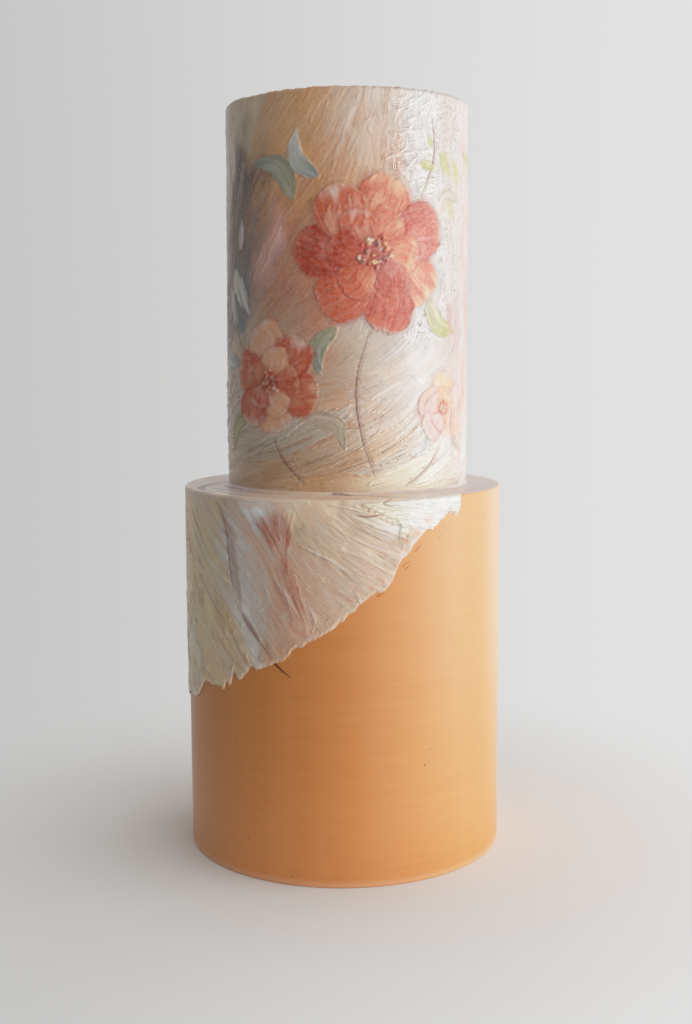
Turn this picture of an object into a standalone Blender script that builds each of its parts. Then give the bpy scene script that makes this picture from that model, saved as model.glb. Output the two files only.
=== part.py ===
"""A two-tier buttercream cake, in metres, +Z up, with its origin at the centre of the flat base.

Both tiers are uncut, so each is one solid. A thin painted coat of buttercream covers the ledge between
them and hangs down one side of the lower tier to a torn, slanting edge. The upper tier carries flowers
and sweeps laid on with a palette knife. Angles are measured from the front (-Y) towards +X.
"""

import math

import bmesh
import bpy
from mathutils import Vector

# Tiers
LOWER_RADIUS = 0.107  # an 8 in sponge with about 5 mm of buttercream
LEDGE_HEIGHT = 0.247  # top of the coat on the ledge
UPPER_RADIUS = 0.0803  # a 6 in sponge with about 4 mm of buttercream
UPPER_TOP = 0.4964
UPPER_SHIFT = 0.0036  # the upper tier stands this far off centre, towards +X
LOWER_ROUNDING = 0.0008
UPPER_ROUNDING = 0.0018

# Painted coat
COAT_THICKNESS = 0.0013
GAP = 0.0003  # between pieces that touch
COAT_END = math.radians(43.6)  # where the torn edge runs out at the rim
COAT_SPAN = math.radians(256)  # how far the coat reaches round the wall from there, towards -X
COAT_DEPTH = 0.140  # the deepest that the torn edge hangs below the ledge
RIM_CREEP = math.radians(14)  # past its ends, the coat draws back from the rim over this angle
LEAST_REACH = 0.0004
# Nicks and tongues of the torn edge: angle in degrees, rise in metres, half width in degrees
TEARS = (
    (-118, -0.006, 5),
    (-97, 0.007, 4),
    (-84, -0.004, 4),
    (-67, -0.003, 4),
    (-55, 0.006, 3),
    (-42, 0.008, 3),
    (-32, 0.003, 4),
    (0, -0.004, 10),
    (14, -0.006, 5),
    (27, 0.006, 6),
    (41, -0.007, 3),
    (-150, 0.006, 5),
    (-178, -0.007, 6),
)

# Flowers on the upper tier: angle in degrees, height, radius, petals
BLOOMS = (
    (12, 0.397, 0.050, 7),
    (-37, 0.318, 0.036, 6),
    (49, 0.300, 0.023, 5),
    (104, 0.412, 0.040, 6),
    (158, 0.330, 0.048, 7),
    (-128, 0.400, 0.042, 6),
)
PETAL_RELIEF = 0.0011
PETAL_NOTCH = 0.70  # between petals the outline falls back to this share of the flower's radius
PETAL_LIP = 0.15
HEART_RADIUS = 0.24  # shares of the flower's radius
HEART_HEIGHT = 0.8
SWEEP_RELIEF = 0.0004
SWEEP_SPACING = 0.030
SWEEP_SLANT = 0.5
RELIEF_START = 0.251  # the foot below this stays plain, clear of the coat
RELIEF_FADE = 0.012
RIM_UNEVENNESS = 0.0005

LOWER_TOP = LEDGE_HEIGHT - COAT_THICKNESS - GAP
UPPER_FOOT = LOWER_TOP + GAP
RIM_ROUNDING = LOWER_ROUNDING + GAP + COAT_THICKNESS  # of the coat's outer face, round the lower rim

# Mesh density
LOWER_STEPS = 96
UPPER_STEPS = 96
UPPER_ROWS = 22
TOP_RINGS = 4
ARC_STEPS = 3
COAT_COLUMNS = 120
LEDGE_ROWS = 2
WALL_ROWS = 6
COAT_ROWS = LEDGE_ROWS + ARC_STEPS + WALL_ROWS


def smooth_step(x):
    """0 up to x = 0, 1 from x = 1, and an even curve between."""
    x = min(max(x, 0.0), 1.0)
    return x * x * (3 - 2 * x)


def at_angle(angle, radius, height, shift=0.0):
    """The point at this angle and height, on a circle whose centre is shifted along X."""
    return Vector((shift + radius * math.sin(angle), -radius * math.cos(angle), height))


def angle_between(a, b):
    return (a - b + math.pi) % (2 * math.pi) - math.pi


def quarter_arc(radius, height, rounding, upwards):
    """Profile points down a rounded edge whose outermost point is at this radius."""
    points = []
    for step in range(ARC_STEPS + 1):
        turn = math.pi / 2 * step / ARC_STEPS
        across, along = (math.sin(turn), math.cos(turn)) if upwards else (math.cos(turn), -math.sin(turn))
        points.append((radius - rounding + rounding * across, height + rounding * along))
    return points


def material(name, colour, roughness):
    made = bpy.data.materials.new(name)
    made.use_nodes = True
    shader = made.node_tree.nodes["Principled BSDF"]
    shader.inputs["Base Color"].default_value = (*colour, 1.0)
    shader.inputs["Roughness"].default_value = roughness
    shader.inputs["Metallic"].default_value = 0.0
    return made


def add_object(name, mesh, collection, finish):
    obj = bpy.data.objects.new(name, mesh)
    collection.objects.link(obj)
    mesh.materials.clear()
    mesh.materials.append(finish)
    return obj


def turned(name, profile, steps, collection, finish):
    """A solid of revolution about Z, from (radius, height) points that run from the top to the base."""
    mesh = bpy.data.meshes.new(name)
    points = [(radius, 0.0, height) for radius, height in profile]
    mesh.from_pydata(points, [(i, i + 1) for i in range(len(points) - 1)], [])
    obj = add_object(name, mesh, collection, finish)
    screw = obj.modifiers.new("turn", "SCREW")
    screw.axis = "Z"
    screw.steps = screw.render_steps = steps
    screw.use_merge_vertices = True
    screw.merge_threshold = 0.00001
    screw.use_smooth_shade = True
    return obj


def apply_modifiers(obj, finish):
    bpy.context.view_layer.update()
    evaluated = obj.evaluated_get(bpy.context.evaluated_depsgraph_get())
    mesh = bpy.data.meshes.new_from_object(evaluated)
    obj.modifiers.clear()
    obj.data = mesh
    mesh.materials.clear()
    mesh.materials.append(finish)


def soften(obj):
    obj.data.shade_smooth()
    obj.data.set_sharp_from_angle(angle=math.radians(40))


def lower_tier(collection):
    """The smooth peach tier, a plain cylinder with a crisp rim and a flat base."""
    finish = material("peach_buttercream", (0.62, 0.27, 0.09), 0.35)
    profile = [(0.0, LOWER_TOP)]
    profile += quarter_arc(LOWER_RADIUS, LOWER_TOP - LOWER_ROUNDING, LOWER_ROUNDING, True)
    profile += quarter_arc(LOWER_RADIUS, LOWER_ROUNDING, LOWER_ROUNDING, False)
    profile += [(0.0, 0.0)]
    turned("lower_tier", profile, LOWER_STEPS, collection, finish)


def coat_drop(angle):
    """How far the torn edge lies below the ledge: half a sine wave with nicks, and 0 past its ends."""
    along = (COAT_END - angle) % (2 * math.pi)
    if along > COAT_SPAN:
        return 0.0
    drop = COAT_DEPTH * math.sin(math.pi * along / COAT_SPAN)
    for centre, rise, half_width in TEARS:
        away = angle_between(angle, math.radians(centre)) / math.radians(half_width)
        drop -= rise * math.exp(-away * away)
    return max(drop, 0.0)


def coat_wrap(angle):
    """How far the coat turns over the lower rim: a quarter turn where it hangs, and less where it stops."""
    along = (COAT_END - angle) % (2 * math.pi)
    past_end = min(abs(angle_between(angle, COAT_END)), abs(angle_between(angle, COAT_END - COAT_SPAN)))
    if along <= COAT_SPAN:
        past_end = 0.0
    return math.pi / 2 * (1 - 0.75 * smooth_step(past_end / RIM_CREEP))


def coat_point(angle, row):
    """The coat's outer face: out over the ledge, round the rim and down the wall to the torn edge."""
    rim_radius = LOWER_RADIUS - LOWER_ROUNDING
    rim_centre = LEDGE_HEIGHT - RIM_ROUNDING
    if row < LEDGE_ROWS:
        foot = at_angle(angle, UPPER_RADIUS + GAP, LEDGE_HEIGHT, UPPER_SHIFT)
        rim = at_angle(angle, rim_radius, LEDGE_HEIGHT)
        return foot.lerp(rim, row / LEDGE_ROWS)
    wrap = coat_wrap(angle)
    turn = wrap * min((row - LEDGE_ROWS) / ARC_STEPS, 1.0)
    point = at_angle(
        angle, rim_radius + RIM_ROUNDING * math.sin(turn), rim_centre + RIM_ROUNDING * math.cos(turn)
    )
    wall_share = max(row - LEDGE_ROWS - ARC_STEPS, 0) / WALL_ROWS
    reach = max(coat_drop(angle) - RIM_ROUNDING, LEAST_REACH) * wall_share
    return point + at_angle(angle, math.cos(wrap), -math.sin(wrap)) * reach


def painted_coat(collection):
    """The thin skin over the ledge and down the lower wall: a wrapped grid, made a shell by Solidify."""
    finish = material("painted_ivory_buttercream", (0.60, 0.50, 0.40), 0.30)
    mesh = bpy.data.meshes.new("painted_coat")
    grid = bmesh.new()
    bmesh.ops.create_grid(grid, x_segments=COAT_COLUMNS, y_segments=COAT_ROWS, size=0.5)
    for vert in grid.verts:
        angle = -2 * math.pi * (vert.co.x + 0.5)  # this sense of wrapping turns the grid's face outwards
        row = round((vert.co.y + 0.5) * COAT_ROWS)
        vert.co = coat_point(angle, row)
    bmesh.ops.remove_doubles(grid, verts=grid.verts, dist=0.00001)
    grid.to_mesh(mesh)
    grid.free()
    obj = add_object("painted_coat", mesh, collection, finish)
    shell = obj.modifiers.new("thickness", "SOLIDIFY")
    shell.thickness = COAT_THICKNESS
    shell.offset = -1.0
    soften(obj)


def bloom_relief(angle, height):
    """Petals that stand up towards their outer edge, round a low heart."""
    relief = 0.0
    for centre, middle, radius, petals in BLOOMS:
        across = UPPER_RADIUS * angle_between(angle, math.radians(centre))
        up = height - middle
        reach = math.hypot(across, up) / radius
        lobe = abs(math.cos(petals * math.atan2(up, across) / 2))
        outline = PETAL_NOTCH + (1 - PETAL_NOTCH) * lobe
        petal = smooth_step((outline - reach) / PETAL_LIP) * smooth_step((reach - HEART_RADIUS) / 0.5)
        heart = HEART_HEIGHT * smooth_step((HEART_RADIUS - reach) / PETAL_LIP)
        relief = max(relief, petal, heart)
    return PETAL_RELIEF * relief


def sweep_relief(angle, height):
    """Broad slanting passes of the knife, between nothing and SWEEP_RELIEF."""
    slanted = height + SWEEP_SLANT * UPPER_RADIUS * math.sin(angle)
    sweep = math.sin(2 * math.pi * slanted / SWEEP_SPACING)
    return SWEEP_RELIEF * (sweep + 1) / 2


def upper_relief(angle, height):
    """How far the painted buttercream stands out from the plain wall."""
    relief = bloom_relief(angle, height) + sweep_relief(angle, height)
    return relief * smooth_step((height - RELIEF_START) / RELIEF_FADE)


def upper_profile():
    """The plain body: rings across the top, a rounded rim, rows down the wall and a flat foot."""
    wall_top = UPPER_TOP - UPPER_ROUNDING
    top_radius = UPPER_RADIUS - UPPER_ROUNDING
    profile = [(top_radius * ring / TOP_RINGS, UPPER_TOP) for ring in range(TOP_RINGS)]
    profile += quarter_arc(UPPER_RADIUS, wall_top, UPPER_ROUNDING, True)
    for row in range(1, UPPER_ROWS + 1):
        profile.append((UPPER_RADIUS, wall_top + (UPPER_FOOT - wall_top) * row / UPPER_ROWS))
    return profile + [(0.0, UPPER_FOOT)]


def rim_lift(angle, radius):
    """The top's outer part rises and falls a little, as a scraped rim does."""
    wobble = math.sin(4 * angle + 1.0) + math.sin(9 * angle) / 2
    return RIM_UNEVENNESS * wobble * smooth_step((radius / UPPER_RADIUS - 0.6) / 0.4)


def upper_tier(collection):
    """The painted tier: a turned body, then pushed out along its radius where the buttercream is thicker."""
    finish = material("painted_pearl_buttercream", (0.66, 0.50, 0.38), 0.30)
    obj = turned("upper_tier", upper_profile(), UPPER_STEPS, collection, finish)
    apply_modifiers(obj, finish)
    for vert in obj.data.vertices:
        radius = math.hypot(vert.co.x, vert.co.y)
        angle = math.atan2(vert.co.x, -vert.co.y)
        height = vert.co.z
        if height > UPPER_TOP - 2 * UPPER_ROUNDING:
            height += rim_lift(angle, radius)
        on_wall = smooth_step((radius / UPPER_RADIUS - 0.9) / 0.07)
        vert.co = at_angle(angle, radius + upper_relief(angle, vert.co.z) * on_wall, height)
    obj.location.x = UPPER_SHIFT
    soften(obj)


def main():
    for old in list(bpy.data.objects):
        bpy.data.objects.remove(old, do_unlink=True)
    cake = bpy.data.collections.new("buttercream_cake")
    bpy.context.scene.collection.children.link(cake)
    lower_tier(cake)
    painted_coat(cake)
    upper_tier(cake)


main()
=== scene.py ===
"""The looks of a two-tier buttercream cake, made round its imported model.

Painted buttercream is laid on canvases. A canvas is one cell for each vertex of a fine sheet of mesh, with
places in millimetres: x round the wall from the front, z up, and on over the rim. Strokes of the knife and
the brush leave colour, relief and comb lines in the cells, and the sheet takes them over.
"""

import math

import bpy
import numpy as np
from mathutils import Matrix, Vector


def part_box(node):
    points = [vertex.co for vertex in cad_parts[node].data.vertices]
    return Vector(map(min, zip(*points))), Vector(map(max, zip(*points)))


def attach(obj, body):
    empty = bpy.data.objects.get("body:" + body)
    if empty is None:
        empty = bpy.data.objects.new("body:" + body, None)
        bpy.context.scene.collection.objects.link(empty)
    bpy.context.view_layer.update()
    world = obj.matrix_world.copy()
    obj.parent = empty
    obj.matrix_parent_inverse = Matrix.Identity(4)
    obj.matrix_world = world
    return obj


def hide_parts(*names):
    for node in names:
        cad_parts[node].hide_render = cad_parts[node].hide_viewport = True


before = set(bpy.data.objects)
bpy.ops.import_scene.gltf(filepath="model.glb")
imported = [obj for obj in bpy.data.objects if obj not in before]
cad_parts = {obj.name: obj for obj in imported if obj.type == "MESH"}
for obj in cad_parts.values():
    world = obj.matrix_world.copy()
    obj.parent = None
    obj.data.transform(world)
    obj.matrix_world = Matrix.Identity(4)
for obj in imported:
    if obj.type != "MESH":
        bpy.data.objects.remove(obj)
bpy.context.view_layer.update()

MM = 0.001

# Sizes, in millimetres
LOWER_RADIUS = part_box("lower_tier")[1].x / MM
LOWER_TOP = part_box("lower_tier")[1].z / MM
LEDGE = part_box("painted_coat")[1].z / MM
UPPER_RADIUS = 80.3
UPPER_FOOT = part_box("upper_tier")[0].z / MM
UPPER_TOP = 496.4
UPPER_SHIFT = (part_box("upper_tier")[0].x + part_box("upper_tier")[1].x) / 2 / MM
UPPER_LEAN = 1.3  # how much further left its foot is than its top
UPPER_FLARE = 0.6  # how much wider its foot is
LOWER_ROUNDING = 0.8
UPPER_ROUNDING = 1.8

# The coat's torn edge: angles in degrees from the front towards +X
COAT_END = 43.6
COAT_SPAN = 256.0
COAT_DEPTH = 140.0
COAT_LOWERED = 0.65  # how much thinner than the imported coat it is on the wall
COAT_EDGE = 0.5  # how much thinner again at its torn edge
# Nicks and tongues: angle, rise in millimetres, half width in degrees
TEARS = (
    (-150, 6, 5), (-178, -7, 6), (-118, -6, 5), (-97, 7, 4), (-84, -4, 4), (-68, -2, 4), (-57, 8, 4.5),
    (-50, 3, 3), (-46.5, -2, 1.2), (-44.6, 4, 0.8), (-40.8, 8, 1.3), (-37, 1, 1.5), (-33, 5, 2),
    (-20, -2, 3), (-17, 1, 1.2), (-7, -2, 3), (0, -3, 8), (14, -6, 4), (19.5, 4, 2.5), (27, 6, 4),
    (42, -9, 3),
)
TEAR_GRAIN = 1.1  # height of its finest teeth

# The painted sheets of mesh, with angles in degrees
CELL = 0.72  # width of a cell where the mesh is fine
FINE_FROM = -100  # the angle on the left where the fine mesh begins
COAT_SEAM = -62  # where the left piece of the coat meets its front
UPPER_SEAMS = (-62, 58)
COARSE = 1.7  # how much wider the cells are on the far side
COAT_WALL_ROWS = 190
LEDGE_ROWS = 30
UPPER_WALL_ROWS = 356
UPPER_RINGS = 45
RING_SPACING = 0.8  # degrees between the columns of the coat's ring on the bare side

# Nodes of the part, each with its slot
PEACH_PART = ("lower_tier", "peach_buttercream")
COAT_PART = ("painted_coat", "painted_coat_buttercream")
UPPER_PART = ("upper_tier", "painted_pearl_buttercream")

# Albedo of each paint, as sRGB from 0 to 255
PEARL = (230, 225, 222)
CREAM = (240, 228, 200)
IVORY = (238, 222, 196)
BEIGE = (234, 206, 172)
TAN = (226, 178, 132)
TAUPE = (206, 178, 162)
GREY = (224, 220, 212)
TEAL = (140, 150, 142)
MAUVE = (226, 204, 200)
BLUSH = (240, 208, 193)
PEACH = (238, 178, 138)
CORAL = (208, 100, 64)
TERRACOTTA = (186, 66, 36)
RUSSET = (160, 54, 32)
BROWN = (108, 62, 50)
SAGE = (172, 164, 128)
CHARTREUSE = (164, 164, 66)
OLIVE = (186, 170, 110)
ROSE = (226, 178, 168)
OCHRE = (222, 172, 104)
SALMON = (196, 108, 78)
FADED_ROSE = (184, 118, 114)
ACCENTS = (PEARL, CREAM, BLUSH, MAUVE, TAN, BEIGE, GREY)

random = np.random.default_rng(11)
LATTICE = np.random.default_rng(5).random((256, 256)).astype(np.float32)


# ---------------------------------------------------------------- numbers


def smooth(x):
    x = np.clip(x, 0.0, 1.0)
    return x * x * (3 - 2 * x)


def noise(x, y, seed=0):
    """Smooth noise from 0 to 1, with about one bump in each unit of x and of y."""
    x = x + 17.31 * seed
    y = y + 9.73 * seed
    column, row = np.floor(x).astype(np.int64), np.floor(y).astype(np.int64)
    across, up = smooth(x - column), smooth(y - row)
    left, right, low, high = column % 256, (column + 1) % 256, row % 256, (row + 1) % 256
    below = LATTICE[low, left] * (1 - across) + LATTICE[low, right] * across
    above = LATTICE[high, left] * (1 - across) + LATTICE[high, right] * across
    return below * (1 - up) + above * up


def linear(colour):
    """Linear colour from sRGB numbers up to 255."""
    value = np.asarray(colour, float) / 255
    return np.where(value <= 0.04045, value / 12.92, ((value + 0.055) / 1.055) ** 2.4)


def wrapped(degrees):
    return (degrees + 180) % 360 - 180


def scattered(k, step=0.618):
    """One of many shares from 0 to 1 that fill the range evenly as k counts up."""
    return (k * step) % 1


def curve(points, steps=7):
    """A smooth path through the points."""
    ends = np.array(points, float)
    ends = np.vstack([2 * ends[0] - ends[1], ends, 2 * ends[-1] - ends[-2]])
    t = np.linspace(0, 1, steps, endpoint=False)[:, None]
    runs = []
    for a, b, c, d in zip(ends, ends[1:], ends[2:], ends[3:]):
        square = a - 2.5 * b + 2 * c - d / 2
        cube = 1.5 * (b - c) + (d - a) / 2
        runs.append(b + (c - a) / 2 * t + square * t**2 + cube * t**3)
    return np.vstack([*runs, ends[-2]])


def follow(path, x, z, past=6.0):
    """How far along the path each place lies and how far to its left. The path runs on past both ends."""
    steps = np.diff(path, axis=0)
    lengths = np.hypot(steps[:, 0], steps[:, 1])
    starts = np.concatenate([[0], np.cumsum(lengths)])
    best = np.full(x.shape, np.inf)
    along, side = np.zeros(x.shape), np.zeros(x.shape)
    for k, ((x0, z0), (dx, dz), length) in enumerate(zip(path, steps / lengths[:, None], lengths)):
        px, pz = x - x0, z - z0
        low = -past if k == 0 else 0.0
        high = length + past if k == len(steps) - 1 else length
        t = np.clip(px * dx + pz * dz, low, high)
        away = (px - t * dx) ** 2 + (pz - t * dz) ** 2
        closer = away < best
        best = np.where(closer, away, best)
        along = np.where(closer, starts[k] + t, along)
        side = np.where(closer, np.where(dx * pz - dz * px < 0, -1.0, 1.0) * np.sqrt(away), side)
    return along, side, starts[-1]


# ---------------------------------------------------------------- painting


def blade_form(u):
    return np.ones_like(u)


def petal_form(u):
    return np.sin(math.pi * np.clip(u, 0.001, 0.999) ** 1.5) ** 0.6


def leaf_form(u):
    return np.sin(math.pi * np.clip(u, 0.001, 0.999) ** 0.8)


def line_form(u):
    return np.sin(math.pi * np.clip(u, 0.001, 0.999)) ** 0.4


def wall_place(degrees, height, radius=LOWER_RADIUS):
    """A canvas place from an angle and a height."""
    return (math.radians(degrees) * radius, height)


def wall_path(points, radius=LOWER_RADIUS):
    return [wall_place(*point, radius) for point in points]


def towards(heading):
    """A step of one millimetre at this heading."""
    return np.array([math.cos(heading), math.sin(heading)])


def blended(paints, share):
    """Linear colours at these shares of the way through the paints."""
    stops = np.array([linear(paint) for paint in paints])
    at = share * (len(stops) - 1)
    first = np.minimum(at.astype(int), max(len(stops) - 2, 0))
    part = (at - first)[:, None]
    return stops[first] * (1 - part) + stops[np.minimum(first + 1, len(stops) - 1)] * part


class Canvas:
    """Cells at these places, in rows and columns.

    A canvas that goes round a wall has the wall's length as its period.
    """

    def __init__(self, x, z, ground, period=None):
        self.shape = x.shape
        self.x, self.z = x.ravel().astype(np.float32), z.ravel().astype(np.float32)
        self.period = period
        self.colour = np.tile(linear(ground).astype(np.float32), (x.size, 1))
        self.relief = np.zeros(x.size, np.float32)
        self.across = np.zeros(x.size, np.float32)
        self.comb = np.zeros(x.size, np.float32)
        self.pearl = np.full(x.size, 0.3, np.float32)
        self.strokes = 0

    def near(self, path, reach):
        """The cells about a path, with their x on the path's own side of the seam."""
        low, high = path.min(0) - reach, path.max(0) + reach
        x = self.x
        if self.period:
            middle = (low[0] + high[0]) / 2
            x = (x - middle + self.period / 2) % self.period + middle - self.period / 2
        cells = np.flatnonzero((x > low[0]) & (x < high[0]) & (self.z > low[1]) & (self.z < high[1]))
        return cells, x[cells], self.z[cells]

    def stroke(
        self, points, width, colours, form=blade_form, body=0.3, ridge=0.3, comb=0.0, dry=0.2, tail=0.2,
        streak=0.2, pearl=0.5, cover=1.0, soft=0.9,
    ):
        """One pass of a knife or brush along the points. Colours run from its start to its end.

        soft is how wide the colour's edge is blended. The relief keeps a sharp edge.
        """
        self.strokes += 1
        seed = self.strokes
        path = curve(points)
        cells, x, z = self.near(path, width / 2 + 2)
        if not len(cells):
            return
        along, side, length = follow(path, x, z)
        u = along / length
        edge = width / 2 * form(u) * (0.88 + 0.24 * noise(along / 4, np.sign(side) * 3 + 5, seed))
        inside = edge - np.abs(side)
        grain = noise(side / 0.8, along / 18, seed)
        end = length * (1 - tail * noise(side / 1.1, along / 40, seed + 0.37)) - along
        start = along - 1.5 * noise(side / 1.4, 0.5, seed + 0.71)
        alpha = smooth(inside / 0.9 + 0.5) * smooth(start / 0.9 + 0.5) * smooth(end / 1.4 + 0.5)
        alpha *= smooth((grain - dry * (0.3 + 0.7 * u)) / 0.16 + 0.5)
        blend = alpha * smooth(inside / soft + 0.25)
        blend = blend * smooth(start / (2 * soft) + 0.2) * smooth(end / (3 * soft) + 0.2)
        share = np.clip(u + 0.3 * (noise(side / 3, along / 12, seed + 0.13) - 0.5), 0, 1)
        colour = blended(colours, share) * (1 + streak * 2 * (grain[:, None] - 0.5))
        light = 0.4 * streak * smooth((noise(side / 0.6, along / 26, seed + 0.53) - 0.62) / 0.15)
        colour = colour + (1 - colour) * light[:, None]
        a = cover * blend[:, None]
        self.colour[cells] = self.colour[cells] * (1 - a) + np.clip(colour, 0.01, 0.95) * a
        broken = smooth(noise(along / 3, np.sign(side) + 9, seed) * 2.2 - 0.6)
        crest = np.exp(-(((inside - 0.9) / 0.75) ** 2)) * broken
        crest += 1.3 * np.exp(-(((end - 1.0) / 0.9) ** 2)) * smooth(noise(side / 2, 2.0, seed) * 2 - 0.4)
        level = body * (0.8 + 0.4 * grain) + ridge * crest
        self.relief[cells] = self.relief[cells] * (1 - 0.6 * alpha) + level * alpha
        mine = alpha > 0.5
        self.across[cells[mine]] = side[mine] + 40
        fade = smooth(inside / 2.0) * smooth(end / 3) * smooth(start / 3)
        self.comb[cells] = self.comb[cells] * (1 - alpha) + comb * alpha * fade
        self.pearl[cells] = self.pearl[cells] * (1 - alpha) + pearl * (0.6 + 0.8 * grain) * alpha

    def line(self, points, width=1.2, colour=BROWN, dry=0.35, cover=0.85):
        """A thin line drawn with a brush tip."""
        self.stroke(
            points, width, (colour, colour), form=line_form, body=0.1, ridge=0.05, dry=dry, tail=0.1,
            streak=0.35, pearl=0.1, cover=cover,
        )

    def values(self, field):
        return field.reshape(*self.shape, -1) if field.ndim > 1 else field.reshape(self.shape)


def zone_colour(zones, x, z, period):
    """The blended colour, in linear light, of the zones about these places.

    A zone is angle, height, reach across, reach up and colour. The places are first shifted by noise.
    """
    shifted_x = x + 16 * (noise(x / 21, z / 27, 3) - 0.5) + 5 * (noise(x / 6, z / 8, 4) - 0.5)
    shifted_z = z + 22 * (noise(x / 19, z / 25, 5) - 0.5) + 6 * (noise(x / 5, z / 8, 6) - 0.5)
    total, colour = 0, 0
    for degrees, height, wide, tall, paint in zones:
        dx = wrapped(shifted_x / period * 360 - degrees) / 360 * period
        weight = (np.exp(-((dx / wide) ** 2) - ((shifted_z - height) / tall) ** 2) + 1e-5) ** 1.4
        total = total + weight
        colour = colour + weight[..., None] * linear(paint)
    return colour / total[..., None]


def paint_at(zones, x, z, period):
    """The zones' colour at one place, as sRGB numbers."""
    light = zone_colour(zones, np.array([x]), np.array([z]), period)[0]
    return tuple(255 * np.where(light <= 0.0031308, light * 12.92, 1.055 * light ** (1 / 2.4) - 0.055))


def wash(canvas, zones, depth=0.16):
    """Lays the zones' colours all over, mottled like thin paint."""
    colour = zone_colour(zones, canvas.x, canvas.z, canvas.period)
    mottle = noise(canvas.x / 9, canvas.z / 12, 7) + 0.6 * noise(canvas.x / 3.1, canvas.z / 5, 8) - 0.8
    canvas.colour[:] = np.clip(colour * (1 + depth * 2 * mottle[:, None]), 0.01, 0.95)


def mixed(a, b, share):
    return tuple(np.array(a, float) * (1 - share) + np.array(b, float) * share)


def ground(canvas, zones, flow, count, low, high, widths, lengths, comb_share, **finish):
    """Covers a wall with broad overlapping passes that follow the flow, in the paints of the zones."""
    order = scattered(np.arange(count), 0.61803)
    for k in range(count):
        x = canvas.period * (order[k] - 0.5)
        z = low + (high - low) * random.random()
        width, length = random.uniform(*widths), random.uniform(*lengths)
        point = np.array([x, z], float)
        points = [point.copy()]
        heading = flow(x, z) + random.normal(0, 0.12)
        for _ in range(3):
            point = point + length / 3 * towards(heading)
            points.append(point.copy())
            heading = 0.5 * heading + 0.5 * flow(*point) + random.normal(0, 0.08)
        first = paint_at(zones, x, z, canvas.period)
        last = paint_at(zones, *point, canvas.period)
        tint, share = ACCENTS[random.integers(len(ACCENTS))], 0.22 * random.random()
        combed = random.uniform(0.3, 0.75) if random.random() < comb_share else 0.15
        pearly = mixed(last, PEARL, random.uniform(0, 0.3))
        canvas.stroke(
            points, width, (mixed(first, tint, share), mixed(last, tint, share), pearly),
            body=random.uniform(0.05, 0.2), ridge=random.uniform(0.0, 0.2), comb=combed,
            dry=random.uniform(0.1, 0.5), tail=random.uniform(0.1, 0.4), pearl=random.uniform(0.25, 0.9),
            **finish,
        )


def outline(canvas, points, width, form, paint, cover):
    """A thin broken line round the far part of a stroke with this path and width."""
    path = curve(points)
    steps = np.gradient(path, axis=0)
    steps /= np.linalg.norm(steps, axis=1)[:, None]
    left = np.stack([-steps[:, 1], steps[:, 0]], axis=1)
    half = width / 2 * form(np.linspace(0, 1, len(path)))[:, None] * 0.97
    first = int(len(path) * random.uniform(0.2, 0.45))
    there, back = (path + left * half)[first::3], (path - left * half)[-1:first:-3]
    canvas.line(np.vstack([there, back]), 0.8, paint, 0.5, cover)


def petal_passes(canvas, path, span, across, width, colours):
    """Three thinner dry passes that lie side by side over a petal."""
    base, middle, tip = path
    deep, main, pale = colours
    for side in (-0.24, 0.22, 0.02):
        shift = across * (side + random.normal(0, 0.03))
        far = tip - span * random.uniform(0.08, 0.22) + shift
        paints = (
            mixed(deep, main, 0.3), mixed(main, pale, random.uniform(0.1, 0.6)),
            mixed(pale, main, random.random() * 0.4),
        )
        canvas.stroke(
            (base + shift * 0.25, middle + shift, far), width * random.uniform(0.26, 0.4), paints,
            form=leaf_form, body=0.4, ridge=0.1, dry=0.38, tail=0.3, streak=0.18, pearl=0.4, comb=0.15,
            cover=0.5, soft=2.2,
        )


def petal_veins(canvas, base, span, across, width, deep):
    """Three dark marks that run out from the heart."""
    for side in (-0.12, 0.1, 0.0):
        shift = across * side
        far = base + span * random.uniform(0.3, 0.5) + shift * 1.4
        canvas.stroke(
            (base, base + span * 0.2 + shift, far), width * 0.13, (mixed(deep, RUSSET, 0.6), deep),
            form=leaf_form, body=0.35, ridge=0.05, dry=0.45, tail=0.6, streak=0.4, pearl=0.2, cover=0.8,
        )


def petal(canvas, centre, heading, reach, width, colours, bend):
    """A petal: a halo of painted shadow, a broad soft smear from the heart out, thinner ones over it and a
    broken outline.
    """
    out = towards(heading)
    left = np.array([-out[1], out[0]])
    span, across = out * reach, left * width
    base = np.array(centre) + span * 0.1
    middle = np.array(centre) + span * 0.58 + left * bend * reach * 0.12
    tip = np.array(centre) + span
    deep, main, pale = colours
    # Painted shadow: a wider, darker soft stroke under the petal, as shade between it and the petals
    # beneath.
    canvas.stroke(
        (base, middle, tip + out * 2), width * 1.14, (mixed(deep, BROWN, 0.3),) * 2, form=petal_form,
        body=0.2, ridge=0, dry=0.1, tail=0, cover=0.4, soft=4,
    )
    canvas.stroke(
        (base, middle, tip), width, (deep, deep, main, main, pale), form=petal_form, body=0.35, dry=0.03,
        tail=0.05, streak=0.14, pearl=0.25, comb=0.1, soft=1.8,
    )
    wander = across * random.uniform(-0.25, 0.25)
    canvas.stroke(
        (base, middle + wander, tip - span * 0.15 + wander), width * 0.55,
        (deep, (ROSE, PEACH, CORAL)[int(reach) % 3], pale), form=leaf_form, body=0.4, ridge=0.0, dry=0.1,
        tail=0.3, cover=0.5, soft=4,
    )
    petal_passes(canvas, (base, middle, tip), span, across, width, colours)
    petal_veins(canvas, base, span, across, width, deep)
    outline(canvas, (base, middle, tip), width, petal_form, mixed(deep, BROWN, 0.6), 0.5)


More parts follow.
